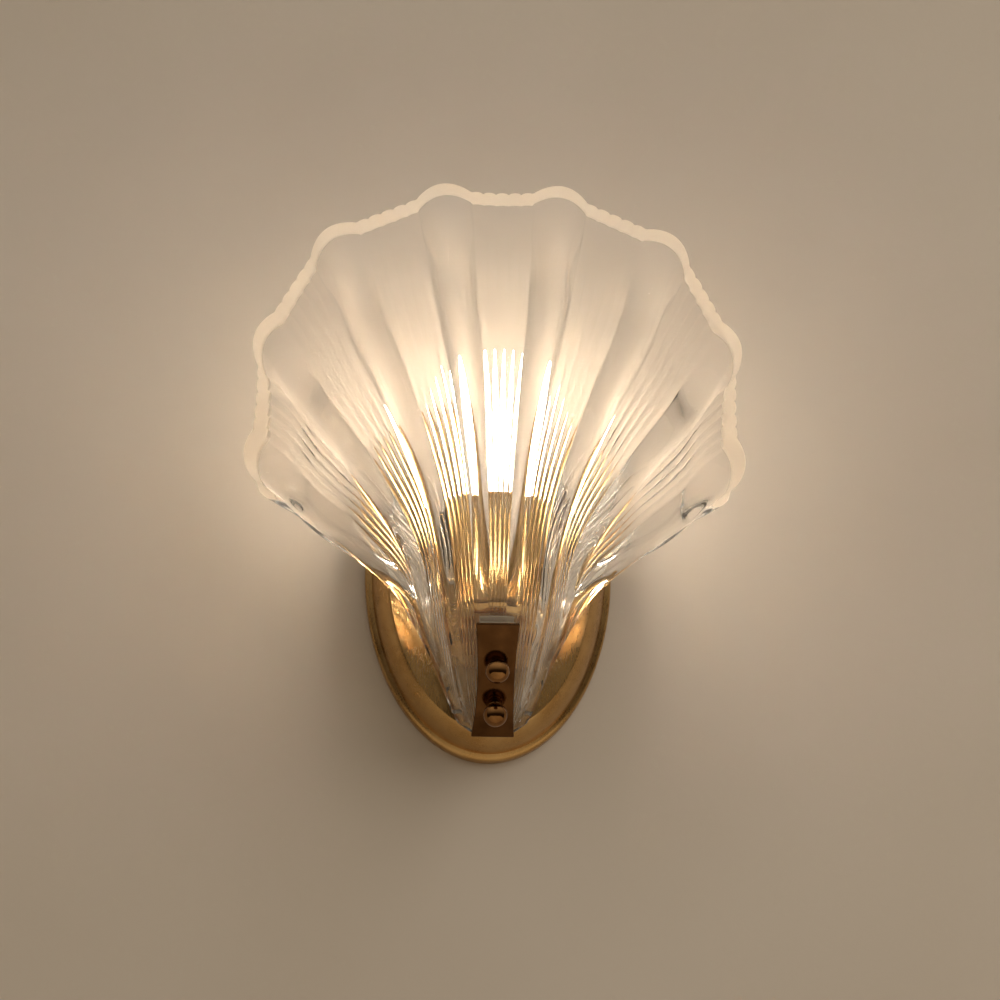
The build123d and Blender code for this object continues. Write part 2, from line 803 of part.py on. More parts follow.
def bulb_insulator():
    align = (Align.CENTER, Align.CENTER, Align.MAX)
    cone = Cone(insulator_low_radius, insulator_high_radius, insulator_height, align=align)
    return lamp_plane(bulb_cap_bottom_z) * cone


def bulb_contact():
    top = bulb_cap_bottom_z - insulator_height - nut_gap
    return rod(lamp_plane(), cap_contact_radius, top - cap_contact_height, top)


def bulb_outline(shrink):
    # three arcs from the cap's top to the tip: belly, shoulder and rounded tip
    belly = (bulb_glass_radius - bulb_neck_radius) / 2
    belly = belly + bulb_wide_z**2 / (4 * belly)
    rise = bulb_glass_length - bulb_tip_radius - bulb_wide_z
    slope = bulb_glass_radius - bulb_tip_radius
    shoulder = (bulb_glass_radius**2 + rise**2 - bulb_tip_radius**2) / (2 * slope)
    start = math.asin(bulb_wide_z / (belly - shrink))
    meet = math.asin(rise / (shoulder - bulb_tip_radius))
    arcs = [
        (bulb_glass_radius - belly, bulb_wide_z, belly, -start, 0),
        (bulb_glass_radius - shoulder, bulb_wide_z, shoulder, 0, meet),
        (0, bulb_glass_length - bulb_tip_radius, bulb_tip_radius, meet, math.pi / 2),
    ]
    edges = []
    for x, z, radius, low, high in arcs:
        reach = radius - shrink
        spots = []
        for turn in (low, (low + high) / 2, high):
            spots.append((x + reach * math.cos(turn), 0, z + reach * math.sin(turn)))
        edges.append(ThreePointArc(*spots))
    return edges


def bulb_glass():
    outer = bulb_outline(0)
    inner = bulb_outline(bulb_glass_wall)
    foot_out = outer[0] @ 0 - Vector(0, 0, bulb_neck_length)
    foot_in = inner[0] @ 0 - Vector(0, 0, bulb_neck_length)
    outline = outer + inner
    outline.append(Line(outer[0] @ 0, foot_out))
    outline.append(Line(foot_out, foot_in))
    outline.append(Line(foot_in, inner[0] @ 0))
    outline.append(Line(inner[-1] @ 1, outer[-1] @ 1))
    wall = revolve(make_face(outline), Axis.Z)
    return Pos(0, -lamp_axis_d, bulb_cap_top_z) * wall


def bulb_stem():
    plane = lamp_plane()
    neck_inside = (bulb_outline(bulb_glass_wall)[0] @ 0).X
    disc_z = bulb_cap_top_z - stem_disc_depth
    disc = rod(plane, neck_inside - nut_gap, disc_z, disc_z + stem_disc_thickness)
    pillar = rod(plane, stem_pillar_radius, disc_z, hub_z)
    hub_radius = filament_circle + filament_radius
    hub = rod(plane, hub_radius, hub_z, hub_z + filament_hub)
    post = rod(plane, stem_post_radius, hub_z, hub_top_z + filament_hub + stem_post_end)
    return disc + pillar + hub + post + rod(plane, hub_radius, hub_top_z, hub_top_z + filament_hub)


def bulb_filaments():
    pieces = []
    for k in range(filament_count):
        turn = math.pi / filament_count + 2 * math.pi * k / filament_count
        x = filament_circle * math.cos(turn)
        y = filament_circle * math.sin(turn)
        stick = rod(lamp_plane(), filament_radius, hub_z + filament_hub, hub_top_z)
        pieces.append(Pos(x, y, 0) * stick)
    return pieces


# ---- write one file for each node ----


def plate_nut_plane(side):
    return wall_plane(side * plate_stud_spacing / 2, 0, fixing_height)


def clamp_nut_set(name, share):
    plane = tail_plane(share)
    ring = collar(plane, plate_front, clamp_collar_radius, clamp_collar_length, clamp_stud_radius)
    ball = ball_nut(
        plane,
        plate_front,
        clamp_ball_radius,
        clamp_collar_radius,
        clamp_collar_length,
        clamp_stud_radius,
        clamp_stud_reach,
    )
    return {"clamp_collar_" + name: ring, "clamp_ball_nut_" + name: ball}


def plate_nut_set(name, side):
    plane = plate_nut_plane(side)
    seat = backplate_depth
    ring = collar(plane, seat, plate_collar_radius, plate_collar_length, plate_stud_radius)
    ball = ball_nut(
        plane,
        seat,
        plate_ball_radius,
        plate_collar_radius,
        plate_collar_length,
        plate_stud_radius,
        plate_stud_reach,
    )
    return {"plate_collar_" + name: ring, "plate_ball_nut_" + name: ball}


def all_nodes():
    nodes = {
        "backplate": backplate(),
        "wall_crossbar": wall_crossbar(),
        "crossbar_studs": crossbar_studs(),
        "earth_screw": earth_screw(),
        "earth_washer": earth_washer(),
        "terminal_block": terminal_block(),
        "terminal_screws": terminal_screws(),
        "wall_grommet": wall_grommet(),
        "arm_bracket": arm_bracket(),
        "arm_screws": arm_screws(),
        "arm_screw_nuts": arm_screw_nuts(),
        "hollow_nipple": hollow_nipple(),
        "nipple_lock_nut": nipple_lock_nut(),
        "cup_seat_nut": cup_seat_nut(),
        "lamp_cup": lamp_cup(),
        "lampholder_body": lampholder_body(),
        "lampholder_screw_shell": lampholder_screw_shell(),
        "lampholder_contact": lampholder_contact(),
        "glass_shell": glass_shell(),
        "clamp_plate": clamp_plate(),
        "front_gasket": gasket(clamp_from, clamp_to, front_seat, front_gasket_width),
        "rear_gasket": gasket(saddle_from, saddle_to, saddle_front, saddle_width),
        "stud_sleeves": stud_sleeves(),
        "clamp_studs": clamp_studs(),
        "bulb_glass": bulb_glass(),
        "bulb_cap": bulb_cap(),
        "bulb_insulator": bulb_insulator(),
        "bulb_contact": bulb_contact(),
        "bulb_stem": bulb_stem(),
        "bulb_filaments": bulb_filaments(),
    }
    nodes.update(clamp_nut_set("lower", clamp_stud_growth[0]))
    nodes.update(clamp_nut_set("upper", clamp_stud_growth[1]))
    nodes.update(plate_nut_set("left", -1))
    nodes.update(plate_nut_set("right", 1))
    return nodes


os.makedirs("parts", exist_ok=True)
for name, shape in all_nodes().items():
    solids = shape if isinstance(shape, list) else [shape]
    export_step(Compound(children=solids) if len(solids) > 1 else solids[0], "parts/" + name + ".step")
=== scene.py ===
import bmesh
import bpy
import math
import numpy as np
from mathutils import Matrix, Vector


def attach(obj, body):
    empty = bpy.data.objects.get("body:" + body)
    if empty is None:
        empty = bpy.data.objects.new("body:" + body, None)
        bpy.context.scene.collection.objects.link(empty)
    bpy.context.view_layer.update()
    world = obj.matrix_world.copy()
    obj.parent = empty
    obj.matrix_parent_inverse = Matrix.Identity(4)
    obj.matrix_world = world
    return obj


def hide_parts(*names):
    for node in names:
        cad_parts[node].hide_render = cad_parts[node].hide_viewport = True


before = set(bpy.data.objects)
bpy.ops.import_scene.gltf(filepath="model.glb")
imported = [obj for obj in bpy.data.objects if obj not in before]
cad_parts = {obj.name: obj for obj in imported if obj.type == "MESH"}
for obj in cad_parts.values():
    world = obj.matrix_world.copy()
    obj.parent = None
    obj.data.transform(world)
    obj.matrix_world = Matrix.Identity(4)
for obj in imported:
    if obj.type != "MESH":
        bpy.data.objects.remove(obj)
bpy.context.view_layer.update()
mm = 0.001
scene = bpy.context.scene
scene.view_settings.view_transform = "Standard"
print("frame loaded:", len(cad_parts), "nodes")


def linear(hexColour, alpha=1.0):
    parts = [int(hexColour[i:i + 2], 16) / 255 for i in (1, 3, 5)]
    return [p / 12.92 if p <= 0.04045 else ((p + 0.055) / 1.055) ** 2.4 for p in parts] + [alpha]


def addNode(tree, kind, inputs=None, **settings):
    # an input can be a plain value, a socket or a node, whose first output is then linked
    node = tree.nodes.new(kind)
    for key, value in settings.items():
        setattr(node, key, value)
    for key, value in (inputs or {}).items():
        if isinstance(value, bpy.types.Node):
            value = value.outputs[0]
        if isinstance(value, bpy.types.NodeSocket):
            tree.links.new(value, node.inputs[key])
        else:
            node.inputs[key].default_value = value
    return node


def newMaterial(name, sockets=None):
    material = bpy.data.materials.new(name)
    material.use_nodes = True
    tree = material.node_tree
    tree.nodes.clear()
    shader = addNode(tree, "ShaderNodeBsdfPrincipled", sockets)
    out = addNode(tree, "ShaderNodeOutputMaterial", {"Surface": shader})
    place = addNode(tree, "ShaderNodeTexCoord").outputs["Object"]
    return material, tree, shader, place, out


patchSpan = (0.32, 0.68)  # where nearly all of a noise's values lie
productSpan = (0.12, 0.42)  # the same for two noises multiplied


def surfaceMaterial(name, look):
    # fine grain for the finish, slow patches for handling, casting or glaze; metal if no sockets are given
    material, tree, shader, place, _ = newMaterial(name, look.get("sockets", {"Metallic": 1.0}))
    drawn = addNode(tree, "ShaderNodeMapping", {"Vector": place, "Scale": look.get("stretch", (1, 1, 1))})
    grain = addNode(tree, "ShaderNodeTexNoise", {
        "Vector": drawn, "Scale": 1000 / look["grainMm"], "Detail": 4.0, "Roughness": 0.6})
    patch = addNode(tree, "ShaderNodeTexNoise", {
        "Vector": place, "Scale": 1000 / look["patchMm"], "Detail": 3.0, "Roughness": 0.5})
    shade = addNode(tree, "ShaderNodeMapRange", {
        "Value": patch, "From Min": patchSpan[0], "From Max": patchSpan[1]})
    tint = addNode(tree, "ShaderNodeMix", {0: shade, 6: linear(look["dark"]), 7: linear(look["bright"])},
                   data_type="RGBA")
    both = addNode(tree, "ShaderNodeMath", {0: grain, 1: patch}, operation="MULTIPLY")
    low, high = look["rough"]
    rough = addNode(tree, "ShaderNodeMapRange", {
        "Value": both, "From Min": productSpan[0], "From Max": productSpan[1],
        "To Min": low, "To Max": high})
    relief = addNode(tree, "ShaderNodeBump", {"Height": grain, "Distance": look["depthMm"] * mm})
    tree.links.new(tint.outputs[2], shader.inputs["Base Color"])
    tree.links.new(rough.outputs[0], shader.inputs["Roughness"])
    tree.links.new(relief.outputs[0], shader.inputs["Normal"])
    return material


# Satin lacquered brass: pressed sheet, finely brushed, so highlights spread softly.
satinBrass = surfaceMaterial("satinLacqueredBrass", {
    "bright": "#CDA972", "dark": "#BC945B", "rough": (0.24, 0.36), "grainMm": 0.35, "patchMm": 18.0,
    "depthMm": 0.0015, "stretch": (1, 1, 0.15)})
# Cast brass: linished after casting, a little uneven, with a soft gloss.
castBrass = surfaceMaterial("linishedCastBrass", {
    "bright": "#D9B47B", "dark": "#C59A5C", "rough": (0.24, 0.38), "grainMm": 0.7, "patchMm": 9.0,
    "depthMm": 0.012})
# Spun brass: polished on the lathe, near mirror with faint turning lines.
spunBrass = surfaceMaterial("polishedSpunBrass", {
    "bright": "#E6C48C", "dark": "#DAB173", "rough": (0.09, 0.18), "grainMm": 0.5, "patchMm": 14.0,
    "depthMm": 0.003, "stretch": (0.15, 0.15, 3)})
# Turned brass: plain machined hardware, bright and slightly scratched.
turnedBrass = surfaceMaterial("turnedHardwareBrass", {
    "bright": "#DFBA78", "dark": "#C69C57", "rough": (0.17, 0.30), "grainMm": 0.4, "patchMm": 6.0,
    "depthMm": 0.005})
# Bronzed brass plate: polished, chemically darkened and lacquered; its colour is darker still, a painted
# dark reflection of the dim room, so it mirrors the room darkly.
paintedDarkBronzedPlate = surfaceMaterial("paintedDarkBronzePlateBrass", {
    "bright": "#68482A", "dark": "#50351C", "rough": (0.10, 0.19), "grainMm": 0.5, "patchMm": 11.0,
    "depthMm": 0.003})
# Bronzed turned brass: the same bronzing and the same painted dark reflection of the room on lathe-turned
# knobs, a shade glossier.
paintedDarkBronzedNut = surfaceMaterial("paintedDarkBronzeTurnedBrass", {
    "bright": "#9A7145", "dark": "#7A5430", "rough": (0.07, 0.14), "grainMm": 0.4, "patchMm": 7.0,
    "depthMm": 0.002})
# Zinc plated steel: passivated, cool grey with a crystalline spangle.
zincSteel = surfaceMaterial("zincPlatedSteel", {
    "bright": "#C4C7C9", "dark": "#9EA2A6", "rough": (0.28, 0.45), "grainMm": 1.1, "patchMm": 7.0,
    "depthMm": 0.006})
# Oil-blacked steel: screw heads, dark brown-black with a dry sheen.
blackSteel = surfaceMaterial("oilBlackedSteel", {
    "bright": "#3A2E24", "dark": "#1E1712", "rough": (0.30, 0.48), "grainMm": 0.5, "patchMm": 5.0,
    "depthMm": 0.006})
# Nylon 66: moulded terminal strip, milky and matt from a sparked mould.
mouldedNylon = surfaceMaterial("mouldedNylon", {
    "bright": "#EFEDE4", "dark": "#E2DFD3", "rough": (0.42, 0.55), "grainMm": 0.5, "patchMm": 5.0,
    "depthMm": 0.010, "sockets": {"IOR": 1.53}})
# EPDM rubber: moulded grommet, matt black with a faint bloom.
mouldedRubber = surfaceMaterial("mouldedBlackRubber", {
    "bright": "#2B2A29", "dark": "#1A1918", "rough": (0.62, 0.76), "grainMm": 0.6, "patchMm": 5.0,
    "depthMm": 0.015, "sockets": {"IOR": 1.52}})
# Silicone rubber: milky gasket sheet that lets light through, with a soft sheen.
clearSilicone = surfaceMaterial("clearSiliconeRubber", {
    "bright": "#E9DFCB", "dark": "#D8CBB2", "rough": (0.36, 0.48), "grainMm": 0.8, "patchMm": 6.0,
    "depthMm": 0.010, "sockets": {"IOR": 1.41, "Transmission Weight": 0.55}})
# Porcelain: pressed and glazed, the glaze pools a little and stays glossy.
glazedPorcelain = surfaceMaterial("glazedPorcelain", {
    "bright": "#F2EFE6", "dark": "#E7E2D5", "rough": (0.08, 0.16), "grainMm": 2.5, "patchMm": 12.0,
    "depthMm": 0.020, "sockets": {"IOR": 1.50}})
# Vitrite: black slag glass poured into the bulb cap.
vitriteGlass = surfaceMaterial("blackVitrite", {
    "bright": "#1C1B1E", "dark": "#101012", "rough": (0.14, 0.22), "grainMm": 0.8, "patchMm": 4.0,
    "depthMm": 0.015, "sockets": {"IOR": 1.50}})
# Soda glass stem: clear drawn glass.
stemGlass = surfaceMaterial("drawnStemGlass", {
    "bright": "#FBFAF5", "dark": "#F4F1E8", "rough": (0.04, 0.10), "grainMm": 3.0, "patchMm": 9.0,
    "depthMm": 0.010, "sockets": {"IOR": 1.52, "Transmission Weight": 1.0}})

# Pressed soda-lime glass: fire polished, with slow ripples from the mould; the rim is ground, and a
# painted glow on it stands in for the bulb's light that the sheet carries out to its edge.
pressedLook = {
    "tint": "#FEFDFB", "ior": 1.50, "rippleMm": 11.0, "rippleDepthMm": 0.05, "roughest": 0.03,
    "haze": 0.012, "hazeColour": "#FFF3E2", "shadowTint": "#EFEAE3",
    "rimDepthMm": 0.5, "rimColour": "#F6EAD8", "rimRough": 0.45, "rimClear": 0.45,
    "rimPaintedGlow": "#F2D9B8", "rimPaintedGlowLevel": 0.08, "gritMm": 0.5, "gritDepthMm": 0.02}


def pressedGlassMaterial(rimCentre, rimWay):
    look = pressedLook
    material, tree, shader, place, out = newMaterial("pressedSodaGlass", {
        "IOR": look["ior"], "Transmission Weight": 1.0, "Base Color": linear(look["tint"])})
    ripple = addNode(tree, "ShaderNodeTexNoise", {
        "Vector": place, "Scale": 1000 / look["rippleMm"], "Detail": 2.0, "Roughness": 0.4})
    gloss = addNode(tree, "ShaderNodeMapRange", {
        "Value": ripple, "From Min": 0.35, "From Max": 0.7, "To Min": 0.0, "To Max": look["roughest"]})
    relief = addNode(tree, "ShaderNodeBump", {"Height": ripple, "Distance": look["rippleDepthMm"] * mm})
    tree.links.new(gloss.outputs[0], shader.inputs["Roughness"])
    tree.links.new(relief.outputs[0], shader.inputs["Normal"])
    # a trace of haze in the sheet picks up the bulb's light
    haze = addNode(tree, "ShaderNodeBsdfTranslucent", {"Color": linear(look["hazeColour"])})
    hazy = addNode(tree, "ShaderNodeMixShader", {0: look["haze"], 1: shader, 2: haze})
    # the ground rim: within a hair of the plane it was ground to
    fromCentre = addNode(tree, "ShaderNodeVectorMath", {0: place, 1: rimCentre}, operation="SUBTRACT")
    above = addNode(tree, "ShaderNodeVectorMath", {0: fromCentre, 1: rimWay}, operation="DOT_PRODUCT")
    onRim = addNode(tree, "ShaderNodeMath", {
        0: above.outputs["Value"], 1: look["rimDepthMm"] * mm}, operation="LESS_THAN")
    grit = addNode(tree, "ShaderNodeTexNoise", {
        "Vector": place, "Scale": 1000 / look["gritMm"], "Detail": 3.0})
    gritRelief = addNode(tree, "ShaderNodeBump", {"Height": grit, "Distance": look["gritDepthMm"] * mm})
    # frosted ground glass whose faint emission is a painted glow, not a lamp
    ground = addNode(tree, "ShaderNodeBsdfPrincipled", {
        "Base Color": linear(look["rimColour"]), "Roughness": look["rimRough"], "IOR": look["ior"],
        "Transmission Weight": look["rimClear"], "Emission Color": linear(look["rimPaintedGlow"]),
        "Emission Strength": look["rimPaintedGlowLevel"], "Normal": gritRelief})
    whole = addNode(tree, "ShaderNodeMixShader", {0: onRim, 1: hazy, 2: ground})
    # light reaches what stands behind the glass, as it does through real glass
    path = addNode(tree, "ShaderNodeLightPath")
    clear = addNode(tree, "ShaderNodeBsdfTransparent", {"Color": linear(look["shadowTint"])})
    mixed = addNode(tree, "ShaderNodeMixShader", {0: path.outputs["Is Shadow Ray"], 1: whole, 2: clear})
    tree.links.new(mixed.outputs[0], out.inputs["Surface"])
    return material


# Bulb glass: frosted inside and lit, brightest along the filaments' height.
litBulbLook = {
    "ior": 1.50, "rough": 0.35, "clear": 0.35, "cloudMm": 6.0, "dark": "#FFF1DC", "bright": "#FFF8EC",
    "glow": "#FFFEFC", "brightest": 18.0, "faintest": 2.5, "fromMm": 18.0, "toMm": 48.0}


def litBulbMaterial():
    look = litBulbLook
    material, tree, shader, place, _ = newMaterial("frostedLitBulbGlass", {
        "IOR": look["ior"], "Roughness": look["rough"], "Transmission Weight": look["clear"],
        "Emission Color": linear(look["glow"])})
    height = addNode(tree, "ShaderNodeSeparateXYZ", {0: place}).outputs["Z"]
    glow = addNode(tree, "ShaderNodeMapRange", {
        "Value": height, "From Min": look["fromMm"] * mm, "From Max": look["toMm"] * mm,
        "To Min": look["faintest"], "To Max": look["brightest"]})
    cloud = addNode(tree, "ShaderNodeTexNoise", {
        "Vector": place, "Scale": 1000 / look["cloudMm"], "Detail": 2.0})
    frost = addNode(tree, "ShaderNodeMix", {0: cloud, 6: linear(look["dark"]), 7: linear(look["bright"])},
                    data_type="RGBA")
    tree.links.new(frost.outputs[2], shader.inputs["Base Color"])
    tree.links.new(glow.outputs[0], shader.inputs["Emission Strength"])
    return material


# Filament stick: phosphor coated, glows evenly warm.
filamentLook = {"rough": 0.5, "glow": "#FFC981", "level": 12.0, "grainMm": 1.0,
                "dark": "#FFC873", "bright": "#FFD99A"}


def filamentMaterial():
    look = filamentLook
    material, tree, shader, place, _ = newMaterial("phosphorFilament", {
        "Roughness": look["rough"], "Emission Color": linear(look["glow"]),
        "Emission Strength": look["level"]})
    grain = addNode(tree, "ShaderNodeTexNoise", {"Vector": place, "Scale": 1000 / look["grainMm"]})
    coat = addNode(tree, "ShaderNodeMix", {0: grain, 6: linear(look["dark"]), 7: linear(look["bright"])},
                   data_type="RGBA")
    tree.links.new(coat.outputs[2], shader.inputs["Base Color"])
    return material


# The scallop: the solids' rule on a finer net. Its ribs rise along the rim's radius, as in the solids;
# the panels between them are sunk, and their flutes cut, square to the glass.
# Sizes are in mm and turns in degrees; a share runs from 0 at the tail to 1 at the rim.
scallop = {
    "rimLean": 23.5, "rimCentre": (69.0, 55.5), "tail": (35.0, -93.0),
    "rimRadius": 120.5, "shoulder": 6.8, "shoulderTurn": 1.9, "thickness": 5.0,
    "ribCount": 8, "ribPitch": 27.5, "ribWidth": 12.4, "ribHeight": 6.4, "ribRoundness": 0.85,
    "shoulderHeight": 1.9, "ribsSolidBelow": 0.84, "ribsHollowAbove": 0.985,
    "panelSink": 6.2, "sinkFades": (0.22, 0.55), "sinkEnds": (0.995, 0.86),
    "flutesPerPanel": 5, "fluteDepth": 0.9, "fluteRoundness": 0.6, "fluteInside": 0.3,
    "fluteFullFrom": 0.7, "fluteLeast": 0.25, "fluteRibGap": 0.004, "flutesTurnFrom": 0.95,
    "sideMargin": 2.3, "tailCut": 0.06, "calmGrowth": 0.12, "startAfter": 0.006,
    "edgeRound": 1.3, "edgeSteps": 6, "rimBreak": 0.45, "rimRows": (0.0040, 0.0020),
    "rimSearchFrom": 0.7, "rimHalvings": 30,
    "ribSteps": 22, "fluteSteps": 6, "sideSteps": 3, "growthSteps": 96,
    # share of the growth, share of the width, swing in degrees, wrap of the sides per rim radius
    "growth": [
        (-0.06, 0.070, 41.0, 0.017), (0.000, 0.115, 41.0, 0.033), (0.050, 0.155, 40.0, 0.066),
        (0.114, 0.195, 36.5, 0.116), (0.227, 0.250, 27.5, 0.149), (0.443, 0.372, 17.0, 0.141),
        (0.667, 0.595, 12.3, 0.083), (0.826, 0.810, 7.9, 0.037), (1.000, 1.000, 0.0, 0.000)],
}
rimAngle = math.radians(scallop["rimLean"])
rimCentre = (0.0, -scallop["rimCentre"][0] * mm, scallop["rimCentre"][1] * mm)
rimWay = (0.0, -math.cos(rimAngle), -math.sin(rimAngle))

pressedGlass = pressedGlassMaterial(rimCentre, rimWay)
litBulbGlass = litBulbMaterial()
filamentGlow = filamentMaterial()
print("materials made")

nodeMaterials = {
    "backplate": satinBrass, "wall_crossbar": zincSteel, "crossbar_studs": zincSteel,
    "earth_screw": turnedBrass, "earth_washer": turnedBrass, "terminal_block": mouldedNylon,
    "terminal_screws": turnedBrass, "wall_grommet": mouldedRubber, "arm_bracket": castBrass,
    "arm_screws": blackSteel, "arm_screw_nuts": zincSteel, "hollow_nipple": turnedBrass,
    "nipple_lock_nut": turnedBrass, "cup_seat_nut": turnedBrass, "lamp_cup": spunBrass,
    "lampholder_body": glazedPorcelain, "lampholder_screw_shell": turnedBrass,
    "lampholder_contact": turnedBrass, "glass_shell": pressedGlass, "clamp_plate": paintedDarkBronzedPlate,
    "front_gasket": clearSilicone, "rear_gasket": clearSilicone, "stud_sleeves": clearSilicone,
    "clamp_studs": turnedBrass, "bulb_glass": litBulbGlass, "bulb_cap": turnedBrass,
    "bulb_insulator": vitriteGlass, "bulb_contact": turnedBrass, "bulb_stem": stemGlass,
    "bulb_filaments": filamentGlow,
}
# nodes not listed, the ball nuts and collars among them, get the bronzed colour with its painted dark
# reflection
for name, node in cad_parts.items():
    node.data.materials.clear()
    node.data.materials.append(nodeMaterials.get(name, paintedDarkBronzedNut))


smoothAngle = math.radians(35)  # edges sharper than this stay sharp


def finishPiece(name, mesh, body, material, node):
    mesh.materials.clear()
    mesh.materials.append(material)
    mesh.polygons.foreach_set("use_smooth", [True] * len(mesh.polygons))
    mesh.set_sharp_from_angle(angle=smoothAngle)
    piece = bpy.data.objects.new(name, mesh)
    scene.collection.objects.link(piece)
    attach(piece, body)
    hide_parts(node)
    print(name + ":", len(mesh.polygons), "faces")


mergeWithin, sliverWithin = 1e-6, 1e-7


def faceOutwards(mesh, parts=None, merge=True):
    # joins the parts, if there are any, into the mesh and turns every normal outwards
    work = bmesh.new()
    for part in parts or [mesh]:
        work.from_mesh(part)
    if merge:  # doubles become one point and slivers go
        bmesh.ops.remove_doubles(work, verts=work.verts, dist=mergeWithin)
        bmesh.ops.dissolve_degenerate(work, edges=work.edges, dist=sliverWithin)
    bmesh.ops.recalc_face_normals(work, faces=work.faces)
    work.to_mesh(mesh)
    work.free()
    return mesh


def meshFrom(name, points, faces):
    # points in mm
    mesh = bpy.data.meshes.new(name)
    mesh.from_pydata([tuple(float(c) * mm for c in p) for p in points], [],
                     [tuple(int(v) for v in f) for f in faces])
    return faceOutwards(mesh)


def storeOnPoints(mesh, numbers, ways):
    for key, values in numbers.items():
        mesh.attributes.new(key, "FLOAT", "POINT").data.foreach_set("value", np.asarray(values, float))
    for key, vectors in ways.items():
        mesh.attributes.new(key, "FLOAT_VECTOR", "POINT").data.foreach_set("vector", vectors.ravel())


def dropStored(mesh, *keys):
    for key in keys:
        if key in mesh.attributes:
            mesh.attributes.remove(mesh.attributes[key])


def ringFaces(count, rows, closedRing=True, closedRows=False):
    # quads between neighbouring rows of a net with count points in each row
    faces = []
    for row in range(rows if closedRows else rows - 1):
        first, second = row * count, (row + 1) % rows * count
        for k in range(count if closedRing else count - 1):
            n = (k + 1) % count
            faces.append((first + k, first + n, second + n, second + k))
    return faces


def rounded(corners, steps=6):
    # outline of (across, along, rounding) corners, with each rounded corner turned to an arc
    spots = []
    total = len(corners)
    for k, (x, y, rounding) in enumerate(corners):
        here = np.array([x, y], float)
        if not rounding:
            spots.append(here)
            continue
        before = np.array(corners[k - 1][:2], float)
        after = np.array(corners[(k + 1) % total][:2], float)
        a = (before - here) / np.linalg.norm(before - here)
        b = (after - here) / np.linalg.norm(after - here)
        half = math.acos(float(np.clip(a @ b, -1, 1))) / 2
        reach = rounding / math.tan(half)
        middle = here + (a + b) / np.linalg.norm(a + b) * rounding / math.sin(half)
        start, end = here + a * reach - middle, here + b * reach - middle
        for s in range(steps + 1):
            t = s / steps
            way = start * (1 - t) + end * t
            spots.append(middle + way / np.linalg.norm(way) * rounding)
    return np.array(spots)


def latheNet(profile, segments, origin, outward, closed=True):
    # turns an outline of (radius, height) about an axis; each ring starts towards +X
    origin, outward, across = (np.array(v, float) for v in (origin, outward, (1, 0, 0)))
    outward = outward / np.linalg.norm(outward)
    across = across - outward * (across @ outward)
    across = across / np.linalg.norm(across)
    other = np.cross(outward, across)
    turns = np.arange(segments) * 2 * math.pi / segments
    rings = []
    for radius, height in profile:
        rings.append(origin + outward * height + np.cos(turns)[:, None] * across * radius
                     + np.sin(turns)[:, None] * other * radius)
    return np.concatenate(rings), ringFaces(segments, len(rings), closedRows=closed)


def grown(column, share):
    # smooth cubic through the growth table that never overshoots a row
    rows = np.array(scallop["growth"])
    x = rows[:, 0]
    y = rows[:, column]
    span = np.diff(x)
    slope = np.diff(y) / span
    tangent = np.empty(len(x))
    tangent[0], tangent[-1] = slope[0], slope[-1]
    product = slope[:-1] * slope[1:]
    total = np.where(product > 0, slope[:-1] + slope[1:], 1.0)
    tangent[1:-1] = np.where(product > 0, 2 * product / total, 0.0)
    k = np.clip(np.searchsorted(x, share, "right") - 1, 0, len(x) - 2)
    t = (share - x[k]) / span[k]
    return ((2 * t**3 - 3 * t**2 + 1) * y[k] + (t**3 - 2 * t**2 + t) * span[k] * tangent[k]
            + (-2 * t**3 + 3 * t**2) * y[k + 1] + (t**3 - t**2) * span[k] * tangent[k + 1])


def shellPoint(turn, share, rise=0.0):
    turn, share = np.broadcast_arrays(np.asarray(turn, float), np.asarray(share, float))
    tailD, tailZ = scallop["tail"]
    gapD = tailD - scallop["rimCentre"][0]
    gapZ = tailZ - scallop["rimCentre"][1]
    tailUp = math.sin(rimAngle) * gapD + math.cos(rimAngle) * gapZ
    tailOut = math.cos(rimAngle) * gapD - math.sin(rimAngle) * gapZ
    angle = np.radians(turn)
    shoulder = scallop["shoulder"] * np.sin(scallop["shoulderTurn"] * angle) ** 2
    radius = scallop["rimRadius"] + shoulder + rise
    x = grown(1, share) * radius * np.sin(angle)
    up = share * (radius * np.cos(angle) - tailUp)
    out = -share * tailOut - grown(3, share) * scallop["rimRadius"] * (1 - np.cos(angle))
    swung = rimAngle + np.radians(grown(2, share))
    d = tailD + up * np.sin(swung) + out * np.cos(swung)
    z = tailZ + up * np.cos(swung) - out * np.sin(swung)
    return np.stack([x, -d, z], -1)


def smoothStep(value, start, end):
    t = np.clip((value - start) / (end - start), 0, 1)
    return t * t * (3 - 2 * t)


def unit(vectors):
    return vectors / np.linalg.norm(vectors, axis=-1, keepdims=True)


turnStep, shareStep = 0.3, 0.004  # how far to look aside for a direction along the glass


def shellNormal(turn, share):
    calm = np.maximum(share, scallop["calmGrowth"])
    across = shellPoint(turn + turnStep, calm) - shellPoint(turn - turnStep, calm)
    along = shellPoint(turn, calm + shareStep) - shellPoint(turn, calm - shareStep)
    return unit(np.cross(across, along))


def innerPoint(turn, share):
    return shellPoint(turn, share) - shellNormal(turn, share) * scallop["thickness"]


def outsideRim(points):
    centreD, centreZ = scallop["rimCentre"]
    outward, upward = -points[..., 1] - centreD, points[..., 2] - centreZ
    return math.cos(rimAngle) * outward - math.sin(rimAngle) * upward


